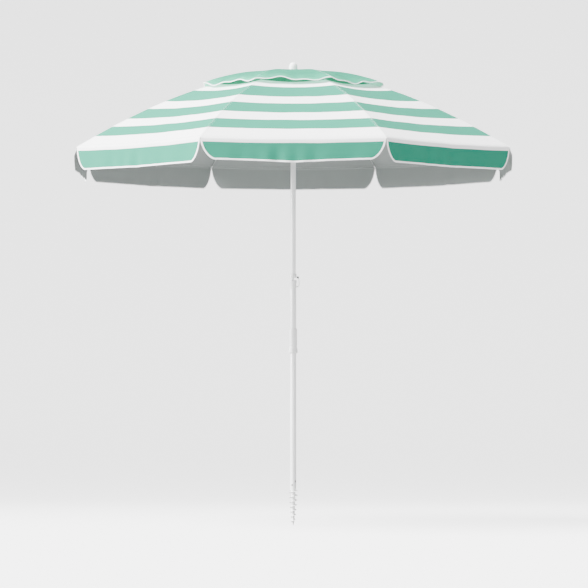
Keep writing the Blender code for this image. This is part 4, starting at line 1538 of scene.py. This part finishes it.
@dataclass
class TiltJoint:
    """The fork and tongue of the tilt joint, its rivet, and the sprung release lever."""

    fork_r: float = 0.0143
    tongue_r: float = 0.0082
    tongue_half: float = 0.0036
    cleft_half: float = 0.0040
    clear: float = 0.020
    pin_hole_r: float = 0.0023
    lug_r: float = 0.0026
    turn: float = 30.0

    def build(self, wardrobe: Wardrobe) -> None:
        """Builds the four pieces."""
        x, _, z = joint_place("canopy_tilt")
        plastic = wardrobe.get(Finish.PLASTIC)
        self.fork(x, z, plastic)
        self.tongue(x, z, plastic)
        pin = lathe(rounded([
            (0, 0.0142), (0.0024, 0.0139), (0.0036, 0.0126), (0.0020, 0.0125),
            (0.0020, -0.0125), (0.0036, -0.0126), (0.0024, -0.0139), (0, -0.0142),
        ], 0.0003, 3), 40)
        pin = moved(pin, Matrix.Translation((x, 0, z)) @ Matrix.Rotation(math.pi / 2, 4, "X"))
        rivet = smooth(dressed("tilt_rivet", pin, wardrobe.get(Finish.ZINC)))
        settle(rivet, "middle", "zinc_steel", "tilt_pivot_pin")
        self.lever(wardrobe)

    def fork(self, x: float, z: float, plastic: Material) -> None:
        """The lower knuckle."""
        profile = [
            (0, z + 0.0120), (self.fork_r, z + 0.0120), (self.fork_r, z - 0.0120), (0.0128, z - 0.0150),
            (0.0128, z - 0.0367), (0.0112, z - 0.0367), (0.0112, z - 0.0670), (0, z - 0.0670),
        ]
        made = dressed("moulded_fork", lathe(profile, 96), plastic)
        crest = arc((x, z), 0.0092, 180, 0, 24)
        floor = arc((x, z), 0.0088, 180, 360, 24)
        left, right = [(-self.clear, z + 0.018), (-self.clear, z)], [(self.clear, z), (self.clear, z + 0.018)]
        for edge, half in ((crest, self.clear), (floor, self.cleft_half)):
            cut(made, plate([*left, *edge, *right], -half, half))
        lever_x, _, lever_z = joint_place("tilt_release")
        radius = self.lug_r
        lug = [(0.0100, lever_z + radius), (0.0100, lever_z - radius)]
        lug += arc((lever_x, lever_z), radius, -90, 90, 20)
        add(made, merged([plate(lug, -0.0046, -0.0026), plate(lug, 0.0026, 0.0046)]))
        sinks = [round_bar(0.0042, (x, side * 0.0122, z), (x, side * 0.018, z), 40) for side in (-1, 1)]
        cut(made, cross_bar(0.0015, lever_x, lever_z, 0.006), cross_bar(self.pin_hole_r, x, z, 0.016), *sinks)
        settle(softened(made, 0.00035), "middle", "white_plastic", "tilt_lower_knuckle")

    def tongue(self, x: float, z: float, plastic: Material) -> None:
        """The upper knuckle."""
        profile = [
            (0, z + 0.0580), (0.0097, z + 0.0580), (0.0097, z + 0.0250), (0.0125, z + 0.0250),
            (self.fork_r, z + 0.0225), (self.fork_r, z + 0.0096), (0, z + 0.0096),
        ]
        made = dressed("moulded_tongue", lathe(profile, 96), plastic)
        turn = math.radians(self.turn)
        top = 0.0150
        rise = (top - self.tongue_r * math.sin(turn)) * math.tan(turn)
        outline = arc((x, z), self.tongue_r, 0, -180 - self.turn, 30)
        outline += [(x - self.tongue_r * math.cos(turn) + rise, z + top), (x + self.tongue_r, z + top)]
        add(made, plate(outline, -self.tongue_half, self.tongue_half))
        cut(made, cross_bar(self.pin_hole_r, x, z, 0.006))
        settle(softened(made, 0.00035), "upper", "white_plastic", "tilt_upper_knuckle")

    def lever(self, wardrobe: Wardrobe) -> None:
        """The bent lever, with a thick thumb pad."""
        x, _, z = joint_place("tilt_release")
        arm = [(0, 0), (0.0045, 0.0008), (0.0078, 0.0032), (0.0098, 0.0075)]
        bend = [(0.0072, 0.0026), (0.0098, 0.0075), (0.0098, 0.0145), (0.0088, 0.0250), (0.0078, 0.0400)]
        root = arc((0, 0), 0.0021, 90, 270, 20) + [(0.0040, -0.0012), (0.0040, 0.0024)]
        made = dressed("steel_lever", plate(root, -0.0022, 0.0022), wardrobe.get(Finish.DARK_STEEL))
        shank = plate(self.strip(arm, 0.0020), -0.0021, 0.0021)
        blade = plate(self.strip(bend, 0.0019), -0.0050, 0.0050)
        add(made, shank, blade, box((0.0004, -0.0046, 0.0350), (0.0082, 0.0046, 0.0432)))
        cut(made, merged([
            cross_bar(0.0005, 0.0082, rise, 0.0036, 12) for rise in (0.0368, 0.0382, 0.0396, 0.0410)
        ]))
        add(made, cross_bar(0.0012, 0, 0, 0.0044, 24))
        made.data.transform(Matrix.Translation((x, 0, z)))
        settle(softened(made, 0.00030), "lever", "dark_steel", "tilt_lever")

    def strip(self, path: Profile, thickness: float) -> Profile:
        """The outline of a bent strip that follows a smoothed path."""
        path = rounded(path, 0.004, 5)
        left, right = [], []
        for number, point in enumerate(path):
            before = Vector(path[max(number - 1, 0)])
            after = Vector(path[min(number + 1, len(path) - 1)])
            along = (after - before).normalized()
            across = Vector((-along.y, along.x)) * thickness / 2
            left.append(tuple(Vector(point) + across))
            right.append(tuple(Vector(point) - across))
        return left + right[::-1]


@dataclass
class Top:
    """The washer over the vent cap, the domed finial, and the runner's catch."""

    stud_r: float = 0.0060
    catch_r: float = 0.0031
    reach: float = 0.0135

    def build(self, wardrobe: Wardrobe) -> None:
        """Builds the three pieces."""
        plastic = wardrobe.get(Finish.PLASTIC)
        low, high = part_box("top_washer")
        washer = lathe(tube(high.x, self.stud_r, low.z, high.z, 0.0006), 96, closed=True)
        washer = dressed("moulded_washer", washer, plastic)
        settle(smooth(washer), "upper", "white_plastic", "top_washer")
        low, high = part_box("finial")
        top, foot = high.z, low.z
        dome = [
            (0, top), (0.0050, top - 0.0006), (0.0095, top - 0.0026), (0.0133, top - 0.0062),
            (0.0161, top - 0.0114), (0.0177, top - 0.0180), (0.0180, top - 0.0260), (0.0177, foot + 0.0060),
            (0.0168, foot + 0.0052), (0.0168, foot + 0.0040), (0.0176, foot + 0.0032), (0.0174, foot),
            (0.0046, foot), (0.0046, top - 0.0120), (0, top - 0.0120),
        ]
        finial = dressed("moulded_finial", lathe(rounded(dome, 0.0012, 4), 96), plastic)
        settle(smooth(finial), "upper", "white_plastic", "finial")
        button = rounded([
            (0, self.reach), (self.catch_r, self.reach - 0.0006), (self.catch_r, 0.0080),
            (0.0045, 0.0080), (0.0045, 0.0066), (0, 0.0066),
        ], 0.0006, 4)
        height = centre_of("runner_catch").z
        place = Matrix.Translation((0, 0, height)) @ Matrix.Rotation(math.pi / 2, 4, "X")
        catch = dressed("steel_catch", moved(lathe(button, 40), place), wardrobe.get(Finish.ZINC))
        settle(smooth(catch), "catch", "zinc_steel", "runner_catch")


# ---- Camera and stage ----


@dataclass(frozen=True)
class Studio:
    """A pale curved backdrop, a soft sky and a broad key light from the upper left."""

    distance: float = 13.585
    eye: float = 0.569
    aside: float = 0.0033
    pitch: float = 1.664
    lens: float = 200.0
    sky: float = 0.70
    key: float = 20.0
    softness: float = 40.0
    key_from: Colour = (-0.55, -0.25, 0.80)
    backdrop_grey: float = 0.30
    floor_glow: float = 3.9
    wall_glow: float = 1.2
    side: float = 10.0
    side_from: Colour = (-1.0, -0.06, 0.12)
    fill: float = 2.5
    fill_from: Colour = (0.35, -1.0, -0.04)

    def camera(self) -> None:
        """The camera, low and far in front of the umbrella."""
        lens = bpy.data.cameras.new("camera")
        lens.lens = self.lens
        lens.sensor_width = 36.0
        lens.clip_end = 400.0
        camera = bpy.data.objects.new("camera", lens)
        camera.location = (self.aside, -self.distance, self.eye)
        camera.rotation_euler = (math.radians(90 + self.pitch), 0, 0)
        bpy.context.scene.collection.objects.link(camera)
        bpy.context.scene.camera = camera

    def backdrop(self) -> None:
        """A floor at the auger's tip that curves up into a wall."""
        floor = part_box("sand_auger")[0].z - 0.0004
        start, bend, reach = 3.0, 9.0, 60.0
        turns = np.linspace(0.03, math.pi / 2, 48)
        curve = [(-reach, 0.0), (start, 0.0)]
        curve += [(start + bend * math.sin(turn), bend - bend * math.cos(turn)) for turn in turns]
        curve.append((start + bend, reach / 2))
        points = [(side, y, floor + z) for y, z in curve for side in (-reach, reach)]
        faces = [(2 * n, 2 * n + 1, 2 * n + 3, 2 * n + 2) for n in range(len(curve) - 1)]
        mesh = bpy.data.meshes.new("backdrop")
        mesh.from_pydata(points, [], faces)
        material, tree, shader = shading("studio_backdrop")
        grey = self.backdrop_grey
        depth = node(tree, "ShaderNodeSeparateXYZ", {0: object_place(tree)}).outputs["Y"]
        glow = node(tree, "ShaderNodeMapRange", {
            "Value": depth, "From Min": -0.5, "From Max": 5.0,
            "To Min": self.floor_glow, "To Max": self.wall_glow,
        }, interpolation_type="SMOOTHSTEP").outputs[0]
        seen = node(tree, "ShaderNodeLightPath").outputs["Is Camera Ray"]
        feed(tree, shader, {
            "Base Color": (grey, grey, grey, 1.0),
            "Roughness": 0.9,
            "Specular IOR Level": 0.0,
            "Emission Color": (1.0, 1.0, 1.0, 1.0),
            "Emission Strength": calc(tree, "MULTIPLY", glow, seen),
        })
        behind = node(tree, "ShaderNodeNewGeometry").outputs["Backfacing"]
        mixed_with(tree, shader, node(tree, "ShaderNodeBsdfTransparent").outputs[0], behind)
        backdrop = new_piece("backdrop", mesh, [material])
        backdrop.data.shade_smooth()

    def lights(self) -> None:
        """The sky, the key light, a low side light and a weak fill from the front."""
        world = bpy.data.worlds.new("studio")
        bpy.context.scene.world = world
        world.use_nodes = True
        light = world.node_tree.nodes["Background"]
        light.inputs["Color"].default_value = (1.0, 1.0, 1.0, 1.0)
        light.inputs["Strength"].default_value = self.sky
        self.lamp("key", self.key, self.softness, self.key_from)
        self.lamp("side", self.side, self.softness / 2, self.side_from)
        self.lamp("fill", self.fill, self.softness, self.fill_from)

    def lamp(self, name: str, energy: float, softness: float, source: Sequence[float]) -> None:
        """A distant lamp that shines from a direction, as wide as a softness in degrees."""
        sun = bpy.data.lights.new(name, "SUN")
        sun.energy = energy
        sun.angle = math.radians(softness)
        lamp = bpy.data.objects.new(name, sun)
        lamp.rotation_mode = "QUATERNION"
        lamp.rotation_quaternion = Vector(source).to_track_quat("Z", "Y")
        bpy.context.scene.collection.objects.link(lamp)

    def build(self) -> None:
        """Sets the stage."""
        self.camera()
        self.backdrop()
        self.lights()


def main() -> None:
    """Builds the umbrella's looks."""
    logging.basicConfig(level=logging.INFO, format="%(message)s")
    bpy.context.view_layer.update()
    Studio().build()
    wardrobe = Wardrobe()
    loom = Loom()
    for number in range(1, PANELS + 1):
        panel = CanopyPanel(number)
        panel.build(wardrobe, loom)
        ValanceFlap(number, panel, FlapCut.of(number)).build(wardrobe, loom)
        VentPanel(number).build(wardrobe, loom)
    Rib().build(wardrobe, loom)
    Stretcher().build(wardrobe)
    for part in (Crown(), Pole(), Auger(), HeightLock(), TiltJoint(), Top()):
        part.build(wardrobe)


if __name__ == "__main__":
    main()
